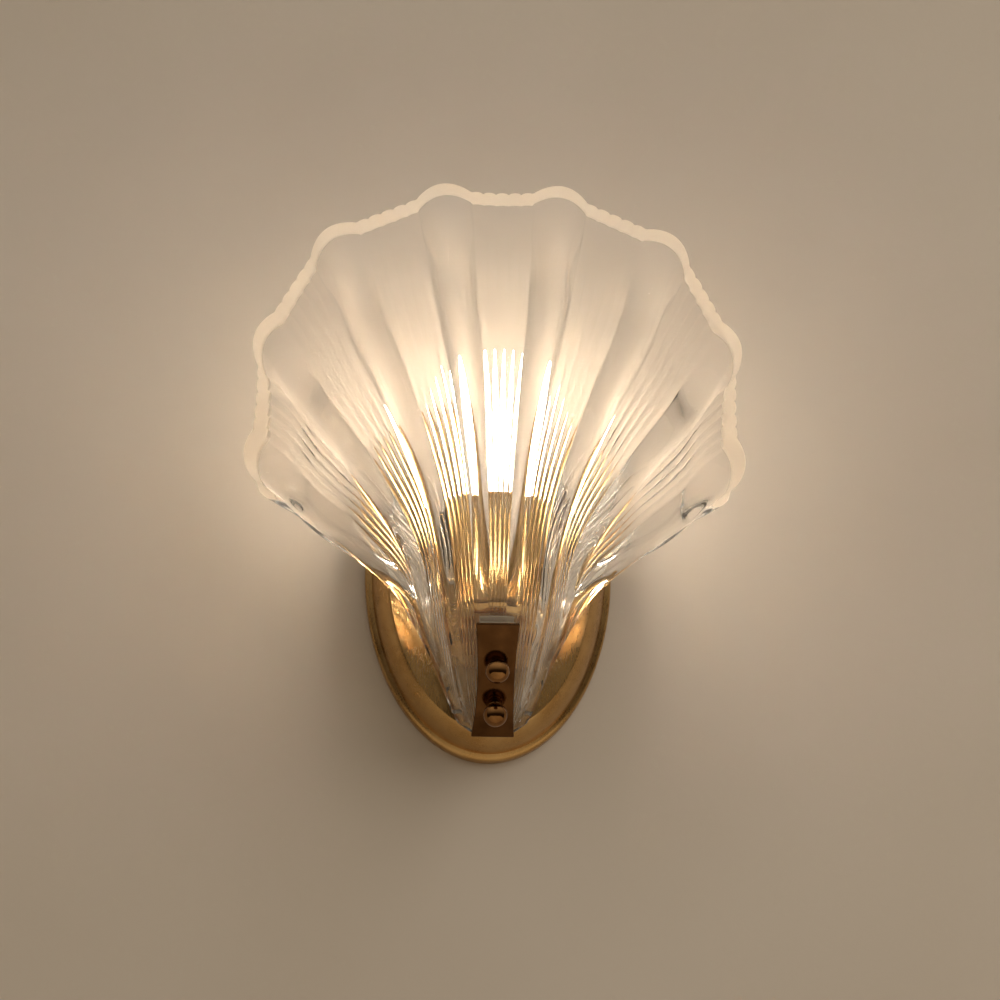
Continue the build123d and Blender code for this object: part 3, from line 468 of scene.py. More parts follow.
def scallopTurns():
    # net lines: close together on the ribs and at each flute's ridges
    firstRib = -scallop["ribPitch"] * (scallop["ribCount"] - 1) / 2
    half = scallop["ribWidth"] / 2
    panel = scallop["ribPitch"] - scallop["ribWidth"]
    margin = scallop["sideMargin"]
    side = scallop["sideSteps"]
    turns = [firstRib - half - margin + margin * k / side for k in range(side)]
    for rib in range(scallop["ribCount"]):
        centre = firstRib + rib * scallop["ribPitch"]
        for k in range(scallop["ribSteps"] + 1):
            # lines crowd at the rib's feet, where it rises steeply
            turns.append(centre - half * math.cos(math.pi * k / scallop["ribSteps"]))
        if rib < scallop["ribCount"] - 1:
            steps = scallop["flutesPerPanel"] * scallop["fluteSteps"]
            turns += [centre + half + panel * k / steps for k in range(1, steps)]
    turns += [-firstRib + half + margin * k / side for k in range(1, side + 1)]
    return np.array(turns)


def scallopNet():
    # closed net of the plain shell; ribs and flutes are raised on it afterwards
    turns = scallopTurns()
    startShare = scallop["tailCut"] * (turns / turns[-1]) ** 2 + scallop["startAfter"]
    # close in on where each line of the inside meets the rim's plane
    low, high = np.full(len(turns), scallop["rimSearchFrom"]), np.full(len(turns), 1.0)
    for _ in range(scallop["rimHalvings"]):
        middle = (low + high) / 2
        beyond = outsideRim(innerPoint(turns, middle)) > 0
        low, high = np.where(beyond, middle, low), np.where(beyond, high, middle)
    steps = np.linspace(0, 1, scallop["growthSteps"])[None, :]
    first = startShare[:, None]
    below, last = scallop["rimRows"]
    outerShare = np.insert(first + (1 - last - first) * steps, -1, 1 - below, axis=1)
    innerShare = np.insert(first + ((low - last)[:, None] - first) * steps, -1, low - below, axis=1)
    outer = shellPoint(turns[:, None], outerShare)
    inner = innerPoint(turns[:, None], innerShare)
    corners = shellPoint(turns, np.ones(len(turns))), innerPoint(turns, low)
    return turns, outer, inner, outerShare, innerShare, corners


def buildScallopBase():
    turns, outer, inner, outerShare, innerShare, (outerCorner, innerCorner) = scallopNet()
    count, rows = outer.shape[:2]
    points, turnOf, shareOf, outsideOf, rimOf = [], [], [], [], []

    def addPoint(point, turn, share, outside, rim=0.0):
        points.append(point)
        turnOf.append(turn)
        shareOf.append(share)
        outsideOf.append(outside)
        rimOf.append(rim)
        return len(points) - 1

    outerId = np.array([[addPoint(outer[i, j], turns[i], outerShare[i, j], 1.0) for j in range(rows)]
                        for i in range(count)])
    innerId = np.array([[addPoint(inner[i, j], turns[i], innerShare[i, j], 0.0) for j in range(rows)]
                        for i in range(count)])
    span = innerCorner - outerCorner
    length = np.linalg.norm(span, axis=-1, keepdims=True)
    breaks = [scallop["rimBreak"], 2 * scallop["rimBreak"]]
    rimId = []
    for distance in breaks + [-b for b in reversed(breaks)]:
        base = outerCorner if distance > 0 else innerCorner
        row = base + span / length * distance
        outside = 1.0 if distance > 0 else 0.0
        rimId.append([addPoint(row[i], turns[i], 1.0 if outside else innerShare[i, -1], outside, 1.0)
                      for i in range(count)])
    rimId = np.array(rimId).T
    faces = []
    for i in range(count - 1):
        for j in range(rows - 1):
            faces.append((outerId[i, j], outerId[i + 1, j], outerId[i + 1, j + 1], outerId[i, j + 1]))
            faces.append((innerId[i, j], innerId[i, j + 1], innerId[i + 1, j + 1], innerId[i + 1, j]))
        chain = [outerId[:, -1]] + [rimId[:, k] for k in range(4)] + [innerId[:, -1]]
        for a, b in zip(chain, chain[1:]):
            faces.append((a[i], a[i + 1], b[i + 1], b[i]))
    # rounded edge along one side, the tail and the other side
    path = [(0, j) for j in range(rows - 1, -1, -1)] + [(i, 0) for i in range(1, count)]
    path += [(count - 1, j) for j in range(1, rows)]
    arc = [math.pi * k / scallop["edgeSteps"] for k in range(1, scallop["edgeSteps"])]
    strip = []
    for i, j in path:
        o, n = outer[i, j], inner[i, j]
        side = np.zeros(3)
        if i in (0, count - 1):
            side += unit(outer[i, j] - outer[1 if i == 0 else count - 2, j])
        if j == 0:
            side += unit(outer[i, 0] - outer[i, 1])
        side = unit(side)
        middle, half = (o + n) / 2, (o - n) / 2
        strip.append([addPoint(middle + half * math.cos(a) + side * scallop["edgeRound"] * math.sin(a),
                               turns[i], outerShare[i, j], 0.5) for a in arc])
    for k in range(len(path) - 1):
        a = [outerId[path[k]]] + strip[k] + [innerId[path[k]]]
        b = [outerId[path[k + 1]]] + strip[k + 1] + [innerId[path[k + 1]]]
        for m in range(len(a) - 1):
            faces.append((a[m], a[m + 1], b[m + 1], b[m]))
    for i, ends in ((0, strip[0]), (count - 1, strip[-1])):
        faces.append([outerId[i, -1]] + list(rimId[i]) + [innerId[i, -1]] + ends[::-1])
    turnOf, shareOf, outsideOf = np.array(turnOf), np.array(shareOf), np.array(outsideOf)
    # low down a rib is solid glass; towards the rim the inside follows it
    hollow = smoothStep(shareOf, scallop["ribsSolidBelow"], scallop["ribsHollowAbove"])
    follow = outsideOf + (1 - outsideOf) * hollow
    away = shellPoint(turnOf, shareOf, 1.0) - shellPoint(turnOf, shareOf, 0.0)
    # between the ribs the sheet lies lower, but not at the clamped tail or on the rim's outline
    square = shellNormal(turnOf, shareOf)
    depth = scallop["panelSink"] * smoothStep(shareOf, *scallop["sinkFades"])
    sink = -square * (depth * smoothStep(shareOf, *scallop["sinkEnds"]))[:, None]
    # flutes are cut square to the glass, and at the rim along it
    nearRim = smoothStep(shareOf, scallop["flutesTurnFrom"], 1.0)[:, None]
    fluteShare = np.clip(shareOf / scallop["fluteFullFrom"], scallop["fluteLeast"], 1)[:, None]
    flute = -(square * (1 - nearRim) + unit(away) * nearRim) * fluteShare
    mesh = bpy.data.meshes.new("scallopBase")
    mesh.from_pydata([tuple(p * mm) for p in points], [], [tuple(int(v) for v in f) for f in faces])
    storeOnPoints(mesh, {"turn": turnOf, "outside": outsideOf, "follow": follow, "onRim": rimOf},
                  {"riseWay": away * mm, "sinkWay": sink * mm, "fluteWay": flute * mm})
    mesh.validate()
    return mesh


def newGeometryTree(name, sockets, stored):
    # known holds what the tree can use by name: its inputs and the values stored on the mesh
    tree = bpy.data.node_groups.new(name, "GeometryNodeTree")
    tree.interface.new_socket("Geometry", in_out="INPUT", socket_type="NodeSocketGeometry")
    for label, kind in sockets.items():
        tree.interface.new_socket(label, in_out="INPUT", socket_type=kind)
    tree.interface.new_socket("Geometry", in_out="OUTPUT", socket_type="NodeSocketGeometry")
    known = dict(addNode(tree, "NodeGroupInput").outputs.items())
    for key, kind in stored.items():
        known[key] = addNode(tree, "GeometryNodeInputNamedAttribute", {"Name": key}, data_type=kind)
    return tree, known


def addChain(tree, known, rows):
    # each row: a name for the result, the node, its operation if it has one, then numbers or known names
    for name, kind, operation, *values in rows:
        inputs = {k: known[value] if isinstance(value, str) else value for k, value in enumerate(values)}
        settings = {"operation": operation} if operation else {}
        known[name] = addNode(tree, "ShaderNode" + kind, inputs, **settings)


def closeTree(tree, geometry, material):
    real = addNode(tree, "GeometryNodeRealizeInstances", {0: geometry})
    painted = addNode(tree, "GeometryNodeSetMaterial", {"Geometry": real, "Material": material})
    addNode(tree, "NodeGroupOutput", {0: painted})


def runTree(tree, mesh, values):
    carrier = bpy.data.objects.new(tree.name + "Carrier", mesh)
    scene.collection.objects.link(carrier)
    modifier = carrier.modifiers.new(tree.name, "NODES")
    modifier.node_group = tree
    for item in tree.interface.items_tree:
        if item.in_out == "INPUT" and item.name in values:
            modifier[item.identifier] = values[item.name]
    graph = bpy.context.evaluated_depsgraph_get()
    made = bpy.data.meshes.new_from_object(carrier.evaluated_get(graph))
    bpy.data.objects.remove(carrier)
    return made


sameWithin = 0.0001  # of a rib's pitch


def ribTree():
    size, whole, vector = "NodeSocketFloat", "NodeSocketInt", "NodeSocketVector"
    tree, known = newGeometryTree("raiseRibsAndFlutes", {
        "Rib Count": whole, "Rib Pitch": size, "Rib Width": size, "Rib Height": size, "Rib Roundness": size,
        "Shoulder Height": size, "Flutes per Panel": whole, "Flute Depth": size, "Flute Roundness": size,
        "Flute Inside": size, "Flute Rib Gap": size, "Rim Centre": vector, "Rim Way": vector,
        "Glass": "NodeSocketMaterial"}, {
        "turn": "FLOAT", "outside": "FLOAT", "follow": "FLOAT", "onRim": "FLOAT",
        "riseWay": "FLOAT_VECTOR", "sinkWay": "FLOAT_VECTOR", "fluteWay": "FLOAT_VECTOR"})
    addChain(tree, known, (
        # place counted in ribs: 0 on the first, 1 on the next
        ("last", "Math", "SUBTRACT", "Rib Count", 1.0),
        ("pitches", "Math", "DIVIDE", "turn", "Rib Pitch"),
        ("along", "Math", "MULTIPLY_ADD", "last", 0.5, "pitches"),
        ("inside", "Clamp", None, "along", 0.0, "last"),
        ("nearest", "Math", "ROUND", "inside"),
        ("offCentre", "Math", "SUBTRACT", "along", "nearest"),
        ("wide", "Math", "DIVIDE", "Rib Width", "Rib Pitch"),
        ("halfRib", "Math", "MULTIPLY", "wide", 0.5),
        ("place", "Math", "DIVIDE", "offCentre", "halfRib"),
        # a rib is a cosine hump with fuller sides
        ("onRib", "Clamp", None, "place", -1.0, 1.0),
        ("quarter", "Math", "MULTIPLY", "onRib", math.pi / 2),
        ("arch", "Math", "COSINE", "quarter"),
        ("positive", "Math", "MAXIMUM", "arch", 0.0),
        ("bulge", "Math", "POWER", "positive", "Rib Roundness"),
        ("crest", "Math", "SUBTRACT", "Rib Height", "Shoulder Height"),
        ("hump", "Math", "MULTIPLY", "bulge", "crest"),
        # it stands on a low swell that dies away in the middle of the panel
        ("fullTurn", "Math", "MULTIPLY", "offCentre", 2 * math.pi),
        ("rolling", "Math", "COSINE", "fullTurn"),
        ("swellShare", "Math", "MULTIPLY_ADD", "rolling", 0.5, 0.5),
        ("swell", "Math", "MULTIPLY", "swellShare", "Shoulder Height"),
        ("humpInside", "Math", "MULTIPLY", "hump", "follow"),
        ("rib", "Math", "ADD", "humpInside", "swell"),
        # place across the panel between two ribs, from 0 to 1
        ("part", "Math", "FRACT", "along"),
        ("panelEnd", "Math", "SUBTRACT", 1.0, "halfRib"),
        ("panel", "MapRange", None, "part", "halfRib", "panelEnd"),
        # flutes are round bars with sharp notches between them
        ("flutes", "Math", "MULTIPLY", "panel", "Flutes per Panel"),
        ("halfTurns", "Math", "MULTIPLY", "flutes", math.pi),
        ("wave", "Math", "SINE", "halfTurns"),
        ("full", "Math", "ABSOLUTE", "wave"),
        ("bar", "Math", "POWER", "full", "Flute Roundness"),
        ("notch", "Math", "SUBTRACT", 1.0, "bar"),
        ("deep", "Math", "MULTIPLY", "notch", "Flute Depth"),
        # the inside of the sheet only hints at them, and there are none on the ribs or past the last one
        ("outsideOnly", "Math", "SUBTRACT", 1.0, "Flute Inside"),
        ("hint", "Math", "MULTIPLY_ADD", "outside", "outsideOnly", "Flute Inside"),
        ("sunk", "Math", "MULTIPLY", "deep", "hint"),
        ("between", "Math", "COMPARE", "inside", "along", sameWithin),
        ("offRib", "Math", "ABSOLUTE", "offCentre"),
        ("pastRib", "Math", "ADD", "halfRib", "Flute Rib Gap"),
        ("clearOfRib", "MapRange", None, "offRib", "halfRib", "pastRib"),
        ("onPanel", "Math", "MULTIPLY", "between", "clearOfRib"),
        ("sunkBetween", "Math", "MULTIPLY", "sunk", "onPanel"),
        # the rib rises, the sheet beside it sinks and the flutes are cut into the sheet
        ("bulgeInside", "Math", "MULTIPLY", "bulge", "follow"),
        ("beside", "Math", "SUBTRACT", 1.0, "bulgeInside"),
        ("ribWay", "VectorMath", "MULTIPLY", "riseWay", "rib"),
        ("panelWay", "VectorMath", "MULTIPLY", "sinkWay", "beside"),
        ("cutWay", "VectorMath", "MULTIPLY", "fluteWay", "sunkBetween"),
        ("sheetWay", "VectorMath", "ADD", "panelWay", "cutWay"),
        ("way", "VectorMath", "ADD", "ribWay", "sheetWay")))
    raised = addNode(tree, "GeometryNodeSetPosition", {
        "Geometry": known["Geometry"], "Offset": known["way"]})
    # the rim is ground flat after pressing
    known["spot"] = addNode(tree, "GeometryNodeInputPosition")
    addChain(tree, known, (
        ("fromCentre", "VectorMath", "SUBTRACT", "spot", "Rim Centre"),
        ("above", "VectorMath", "DOT_PRODUCT", "fromCentre", "Rim Way")))
    known["height"] = known["above"].outputs["Value"]
    addChain(tree, known, (
        ("back", "Math", "MULTIPLY", "height", "onRim"),
        ("down", "Math", "MULTIPLY", "back", -1.0),
        ("shift", "VectorMath", "MULTIPLY", "Rim Way", "down")))
    ground = addNode(tree, "GeometryNodeSetPosition", {"Geometry": raised, "Offset": known["shift"]})
    closeTree(tree, ground, known["Glass"])
    return tree


def drill(mesh, holes, length=34.0, segments=64):
    # round holes, each given by its middle in mm, its direction and its radius
    holder = bpy.data.objects.new("drillHolder", mesh)
    scene.collection.objects.link(holder)
    cutters = []
    for middle, way, radius in holes:
        pin = [(0, -length / 2), (radius, -length / 2), (radius, length / 2), (0, length / 2)]
        points, faces = latheNet(pin, segments, middle, way, closed=False)
        cutter = bpy.data.objects.new("drill", meshFrom("drill", points, faces))
        scene.collection.objects.link(cutter)
        cut = holder.modifiers.new("drill", "BOOLEAN")
        cut.operation = "DIFFERENCE"
        cut.solver = "EXACT"
        cut.object = cutter
        cutters.append(cutter)
    graph = bpy.context.evaluated_depsgraph_get()
    made = bpy.data.meshes.new_from_object(holder.evaluated_get(graph))
    for item in cutters + [holder]:
        bpy.data.objects.remove(item)
    return made


def tailFrame(share):
    # on the shell's middle line: the spot, the way up along the glass and the way out of it
    here = shellPoint(0.0, share)
    along = unit(shellPoint(0.0, share + shareStep) - shellPoint(0.0, share - shareStep))
    return here, along, np.cross(np.array([1.0, 0, 0]), along)


def clampHoles(radius):
    # one hole for each clamp stud: its middle, its direction and its radius
    return [(tailFrame(share)[0], tailFrame(share)[2], radius) for share in clampStud["shares"]]


clampStud = {"shares": (0.093, 0.170), "glassHole": 4.0, "radius": 2.5, "end": 15.002, "edge": 0.4,
             "headRadius": 4.0, "headBack": -12.773, "headFront": -10.573,
             "threadFrom": -4.0, "pitch": 0.8, "threadDepth": 0.4, "threadGap": 0.1}


def makeGlassShell():
    made = runTree(ribTree(), buildScallopBase(), {
        "Rib Count": scallop["ribCount"], "Rib Pitch": scallop["ribPitch"],
        "Rib Width": scallop["ribWidth"], "Rib Height": scallop["ribHeight"],
        "Rib Roundness": scallop["ribRoundness"],
        "Shoulder Height": scallop["shoulderHeight"],
        "Flutes per Panel": scallop["flutesPerPanel"], "Flute Depth": scallop["fluteDepth"],
        "Flute Roundness": scallop["fluteRoundness"], "Flute Inside": scallop["fluteInside"],
        "Flute Rib Gap": scallop["fluteRibGap"],
        "Rim Centre": rimCentre, "Rim Way": rimWay, "Glass": pressedGlass})
    faceOutwards(made, merge=False)
    cut = drill(made, clampHoles(clampStud["glassHole"]))
    dropStored(cut, "turn", "outside", "follow", "onRim", "riseWay", "sinkWay", "fluteWay")
    cut.name = "glassScallop"
    finishPiece("glass_scallop", cut, "fixture", pressedGlass, "glass_shell")


makeGlassShell()

backplate = {"width": 126.0, "height": 195.0, "depth": 25.0, "wall": 1.6, "lipDepth": 6.0, "lipRound": 3.0,
             "flankStart": 3.0, "faceInset": 11.0, "leanLow": 12.0, "leanHigh": 60.0, "flankFoot": 5.0,
             "faceRound": 0.35, "innerRound": (0.3, 0.8), "faceRing": 3.0, "flankGap": 0.3, "seam": 0.01,
             "segments": 224, "flankSteps": 22,
             "holes": [(21.0, -5.0, 2.3), (-21.0, -5.0, 2.3), (18.7, -39.0, 2.2), (-18.7, -39.0, 2.2),
                       (0.0, -43.0, 4.4)]}


def flankLine(wall, front):
    # inset and depth of the flank, an arc that leans in more and more
    low, high = math.radians(backplate["leanLow"]), math.radians(backplate["leanHigh"])
    spots = []
    for k in range(backplate["flankSteps"] + 1):
        lean = low + (high - low) * k / backplate["flankSteps"]
        inward = (math.cos(low) - math.cos(lean)) / (math.cos(low) - math.cos(high))
        outward = (math.sin(lean) - math.sin(low)) / (math.sin(high) - math.sin(low))
        inset = backplate["flankStart"] + (backplate["faceInset"] - backplate["flankStart"]) * inward
        spots.append((inset + wall, backplate["flankFoot"] + (front - backplate["flankFoot"]) * outward, 0))
    return spots


def makeBackplate():
    b = backplate
    outside = [(0, 0, 0), (0, b["lipDepth"], b["lipRound"] - b["seam"])]
    outside += [spot for spot in flankLine(0, b["depth"]) if spot[1] > b["lipDepth"] + b["flankGap"]]
    outside[-1] = outside[-1][:2] + (b["faceRound"],)
    outside.append((b["faceInset"] + b["faceRing"], b["depth"], 0))
    wall, within = b["wall"], b["depth"] - b["wall"]
    inside = [(wall + b["faceInset"] + b["faceRing"], within, 0)]
    inside += [spot for spot in reversed(flankLine(wall, within)) if spot[1] > b["lipDepth"]]
    inside += [(b["flankStart"] + wall, b["lipDepth"] - wall, b["innerRound"][0]),
               (wall, b["lipDepth"] - wall, b["innerRound"][1]), (wall, 0, 0)]
    line = rounded(outside + inside)
    turns = np.arange(b["segments"]) * 2 * math.pi / b["segments"]
    rings = [np.stack([(b["width"] / 2 - inset) * np.cos(turns), np.full(len(turns), -depth),
                       (b["height"] / 2 - inset) * np.sin(turns)], -1) for inset, depth in line]
    # the two flat faces are closed where the profile turns back
    turnBack = int(np.argmax(line[:, 0] * (line[:, 1] > b["depth"] - b["seam"])))
    points = np.concatenate(rings)
    faces = [f for f in ringFaces(len(turns), len(rings), closedRows=True)
             if not (f[0] // len(turns) == turnBack and f[3] // len(turns) == turnBack + 1)]
    for row in (turnBack, turnBack + 1):
        faces.append([row * len(turns) + k for k in range(len(turns))])
    shell = meshFrom("backplateShell", points, faces)
    holes = [((x, -b["depth"], z), (0, -1, 0), radius) for x, z, radius in b["holes"]]
    finishPiece("backplate_shell", drill(shell, holes), "fixture", satinBrass,
                "backplate")


makeBackplate()

clampPlate = {"from": 0.018, "to": 0.245, "back": 1.402, "front": 3.902, "width": 21.5, "waist": 1.6,
              "edgeRound": 0.7, "roundSteps": 4, "sharpFrom": 50, "hole": 2.75,
              "lengthSteps": 72, "widthSteps": 24}


def makeClampPlate():
    c = clampPlate
    shares = np.linspace(c["from"], c["to"], c["lengthSteps"] + 1)
    ends = [tailFrame(s)[0] for s in (c["from"], c["to"])]
    middle, upWay, _ = tailFrame((c["from"] + c["to"]) / 2)
    length = float(np.linalg.norm(ends[1] - ends[0]))
    arc = (length**2 / 4 + c["waist"] ** 2) / (2 * c["waist"])
    columns = c["widthSteps"] + 1
    rows = []
    for side in ("back", "front"):
        for share in shares:
            here, _, outward = tailFrame(share)
            off = float((here - middle) @ upWay)
            half = c["width"] / 2 - c["waist"] + arc - math.sqrt(arc**2 - min(off**2, length**2 / 4))
            spot = here + outward * c[side]
            rows += [spot + np.array([half * (2 * k / c["widthSteps"] - 1), 0, 0]) for k in range(columns)]
    sheet = len(shares) * columns
    faces = ringFaces(columns, len(shares), closedRing=False)
    faces += [tuple(sheet + v for v in f) for f in faces]
    outline = [k for k in range(columns)] + [r * columns + columns - 1 for r in range(1, len(shares))]
    outline += [(len(shares) - 1) * columns + k for k in range(columns - 2, -1, -1)]
    outline += [r * columns for r in range(len(shares) - 2, 0, -1)]
    for k, a in enumerate(outline):
        b = outline[(k + 1) % len(outline)]
        faces.append((a, b, b + sheet, a + sheet))
    plate = meshFrom("clampPlateBlank", rows, faces)
    work = bmesh.new()
    work.from_mesh(plate)
    sharp = [e for e in work.edges
             if len(e.link_faces) == 2 and e.calc_face_angle() > math.radians(c["sharpFrom"])]
    bmesh.ops.bevel(work, geom=sharp, offset=c["edgeRound"] * mm, segments=c["roundSteps"], profile=0.5,
                    affect="EDGES", clamp_overlap=True)
    work.to_mesh(plate)
    work.free()
    finishPiece("clamp_plate_polished", drill(plate, clampHoles(c["hole"])), "fixture", paintedDarkBronzedPlate,
                "clamp_plate")


makeClampPlate()

ballNuts = {
    "clamp": {"ball": 6.0, "collar": 4.2, "collarLength": 3.0, "bore": 2.56, "reach": 9.0, "seat": 3.902},
    "plate": {"ball": 4.75, "collar": 3.4, "collarLength": 2.5, "bore": 2.06, "reach": 7.0, "seat": 25.0},
    "gap": 0.05, "flatShare": 0.85, "collarRound": 0.5, "boreRound": 0.15, "mouth": 0.2,
    "segments": 96, "ballSteps": 40, "plateStudX": 21.0, "plateStudZ": -5.0}


def makeNutSet(size, side, origin, outward):
    # collar and ball nut: turned pieces with a rounded collar, a flat seat and a plain blind bore
    s = ballNuts[size]
    low = s["seat"] + ballNuts["gap"]
    high = low + s["collarLength"]
    bore, edge = ballNuts["boreRound"], ballNuts["collarRound"]
    ring = rounded([(s["bore"], low, bore), (s["collar"], low, edge),
                    (s["collar"], high, edge), (s["bore"], high, bore)])
    points, faces = latheNet(ring, ballNuts["segments"], origin, outward)
    collarName = size + "_collar_" + side
    finishPiece("turned_" + collarName, meshFrom(collarName, points, faces), collarName, paintedDarkBronzedNut,
                collarName)
    start = high + ballNuts["gap"]
    flat = s["collar"] * ballNuts["flatShare"]
    centre = start + math.sqrt(s["ball"] ** 2 - flat**2)
    foot = -math.acos(flat / s["ball"])
    steps, mouth = ballNuts["ballSteps"], ballNuts["mouth"]
    turns = [foot + (math.pi / 2 - foot) * k / steps for k in range(steps)]
    ball = [(0, start + s["reach"]), (s["bore"], start + s["reach"]), (s["bore"], start + mouth),
            (s["bore"] + mouth, start)]
    ball += [(s["ball"] * math.cos(t), centre + s["ball"] * math.sin(t)) for t in turns]
    ball.append((0, centre + s["ball"]))
    points, faces = latheNet(ball, ballNuts["segments"], origin, outward, closed=False)
    nutName = size + "_ball_nut_" + side
    finishPiece("turned_" + nutName, meshFrom(nutName, points, faces), size + "_nut_" + side, paintedDarkBronzedNut,
                nutName)


for side, share in zip(("lower", "upper"), clampStud["shares"]):
    here, _, outward = tailFrame(share)
    makeNutSet("clamp", side, here, outward)
for side, way in (("left", -1), ("right", 1)):
    makeNutSet("plate", side, (way * ballNuts["plateStudX"], 0, ballNuts["plateStudZ"]), (0, -1, 0))


def threadTree():
    size = "NodeSocketFloat"
    tree, known = newGeometryTree("rollThread", {
        "Pitch": size, "Depth": size, "From": size, "To": size, "Metal": "NodeSocketMaterial"}, {
        "height": "FLOAT", "around": "FLOAT", "inWay": "FLOAT_VECTOR"})
    addChain(tree, known, (
        ("climbed", "Math", "DIVIDE", "height", "Pitch"),
        ("spiral", "Math", "SUBTRACT", "climbed", "around"),
        ("turned", "Math", "MULTIPLY", "spiral", 2 * math.pi),
        ("wave", "Math", "COSINE", "turned"),
        ("groove", "Math", "MULTIPLY_ADD", "wave", -0.5, 0.5),
        # the thread runs in and out within one pitch
        ("begun", "Math", "ADD", "From", "Pitch"),
        ("fadeIn", "MapRange", None, "height", "From", "begun"),
        ("ending", "Math", "SUBTRACT", "To", "Pitch"),
        ("fadeOut", "MapRange", None, "height", "To", "ending"),
        ("fade", "Math", "MULTIPLY", "fadeIn", "fadeOut"),
        ("deep", "Math", "MULTIPLY", "groove", "fade"),
        ("sunk", "Math", "MULTIPLY", "deep", "Depth"),
        ("way", "VectorMath", "MULTIPLY", "inWay", "sunk")))
    cut = addNode(tree, "GeometryNodeSetPosition", {"Geometry": known["Geometry"], "Offset": known["way"]})
    closeTree(tree, cut, known["Metal"])
    return tree


rollThread = threadTree()


def threadedRod(name, profile, thread, origin, outward, segments=40):
    # profile: rows of (radius, height, 1 where the thread is rolled) from axis to axis
    points, faces = latheNet([row[:2] for row in profile], segments, origin, outward, closed=False)
    way = unit(np.array(outward, float))
    height = (points - np.array(origin, float)) @ way
    flat = points - np.array(origin, float) - height[:, None] * way
    skin = np.repeat([float(row[2]) for row in profile], segments)
    inWay = -flat / np.maximum(np.linalg.norm(flat, axis=1), 1e-6)[:, None] * skin[:, None] * mm
    mesh = bpy.data.meshes.new(name)
    mesh.from_pydata([tuple(float(c) * mm for c in p) for p in points], [], faces)
    around = np.tile(np.arange(segments) / segments, len(profile))
    storeOnPoints(mesh, {"height": height, "around": around}, {"inWay": inWay})
    made = runTree(rollThread, mesh, {"Pitch": thread["pitch"], "Depth": thread["depth"],
                                      "From": thread["from"], "To": thread["to"], "Metal": turnedBrass})
    dropStored(made, "height", "around", "inWay")
    return made


def threadRows(radius, thread, stepsPerTurn=6):
    count = max(2, int((thread["to"] - thread["from"]) / thread["pitch"] * stepsPerTurn))
    return [(radius, float(h), 1) for h in np.linspace(thread["from"], thread["to"], count)]


def makeClampStuds():
    s = clampStud
    edge, head, back, front = s["edge"], s["headRadius"], s["headBack"], s["headFront"]
    thread = {"pitch": s["pitch"], "depth": s["threadDepth"], "from": s["threadFrom"],
              "to": s["end"] - edge}
    profile = [(0, back, 0), (head - edge, back, 0), (head, back + edge, 0), (head, front, 0),
               (s["radius"], front, 0), (s["radius"], s["threadFrom"] - s["threadGap"], 0)]
    profile += threadRows(s["radius"], thread) + [(s["radius"] - edge, s["end"], 0), (0, s["end"], 0)]
    rods = []
    for share in s["shares"]:
        here, _, outward = tailFrame(share)
        rods.append(threadedRod("clampStud", profile, thread, here, outward))
    finishPiece("clamp_studs_threaded", faceOutwards(bpy.data.meshes.new("clampStuds"), rods), "fixture",
                turnedBrass, "clamp_studs")


makeClampStuds()

lamp = {"axis": (0.0, -57.0, 0.0), "cupRadius": 18.0, "cupBottom": -38.5, "cupTop": 24.0, "cupWall": 1.2,
        "cupRound": 8.0, "bead": 0.9, "beadRadius": 17.8, "cupHole": 5.2, "segments": 160,
        "cupEdge": 0.2, "cupLip": 0.3, "beadSteps": 14, "cupRoundSteps": 16,
        "capRadius": 6.85, "capBottom": -6.0, "capTop": 17.0, "capWall": 0.4, "capFloor": 1.0,
        "capEdge": 0.5, "capInnerEdge": 0.3, "capSegments": 72,
        "capThread": {"pitch": 2.822, "depth": 0.56, "from": -4.6, "to": 8.0},
        "glassRadius": 17.5, "glassLength": 87.0, "glassWall": 0.8, "neckRadius": 6.25, "neckLength": 8.0,
        "wideHeight": 35.0, "tipRadius": 5.0, "arcSteps": 22, "glassSegments": 120}


def makeLampCup():
    c = lamp
    beadMiddle = c["cupTop"] - c["bead"]
    start = -math.acos((c["cupRadius"] - c["beadRadius"]) / c["bead"])
    bead = [(c["beadRadius"] + c["bead"] * math.cos(t), beadMiddle + c["bead"] * math.sin(t), 0)
            for t in np.linspace(start, math.pi / 2, c["beadSteps"])]
    inside, floor = c["cupRadius"] - c["cupWall"], c["cupBottom"] + c["cupWall"]
    foot = [(c["cupHole"], c["cupBottom"], c["cupEdge"]), (c["cupRadius"], c["cupBottom"], c["cupRound"])]
    within = [(inside, c["cupTop"], c["cupLip"]), (inside, floor, c["cupRound"] - c["cupWall"]),
              (c["cupHole"], floor, c["cupEdge"])]
    line = rounded(foot + bead + within, steps=c["cupRoundSteps"])
    points, faces = latheNet(line, c["segments"], c["axis"], (0, 0, 1))
    finishPiece("lamp_cup_spun", meshFrom("lampCup", points, faces), "fixture", spunBrass,
                "lamp_cup")


def makeBulbCap():
    c = lamp
    outer, inner = c["capRadius"], c["capRadius"] - c["capWall"]
    floor = c["capBottom"] + c["capFloor"]
    edge, foot = c["capEdge"], inner - c["capInnerEdge"]
    profile = [(0, c["capBottom"], 0), (outer - edge, c["capBottom"], 0), (outer, c["capBottom"] + edge, 0)]
    profile += threadRows(outer, c["capThread"]) + [(outer, c["capTop"], 0), (inner, c["capTop"], 0)]
    profile += threadRows(inner, c["capThread"])[::-1] + [(foot, floor, 0), (0, floor, 0)]
    cap = threadedRod("bulbCap", profile, c["capThread"], c["axis"], (0, 0, 1), segments=c["capSegments"])
    finishPiece("bulb_cap_rolled", faceOutwards(bpy.data.meshes.new("bulbCap"), [cap]), "bulb", turnedBrass,
                "bulb_cap")


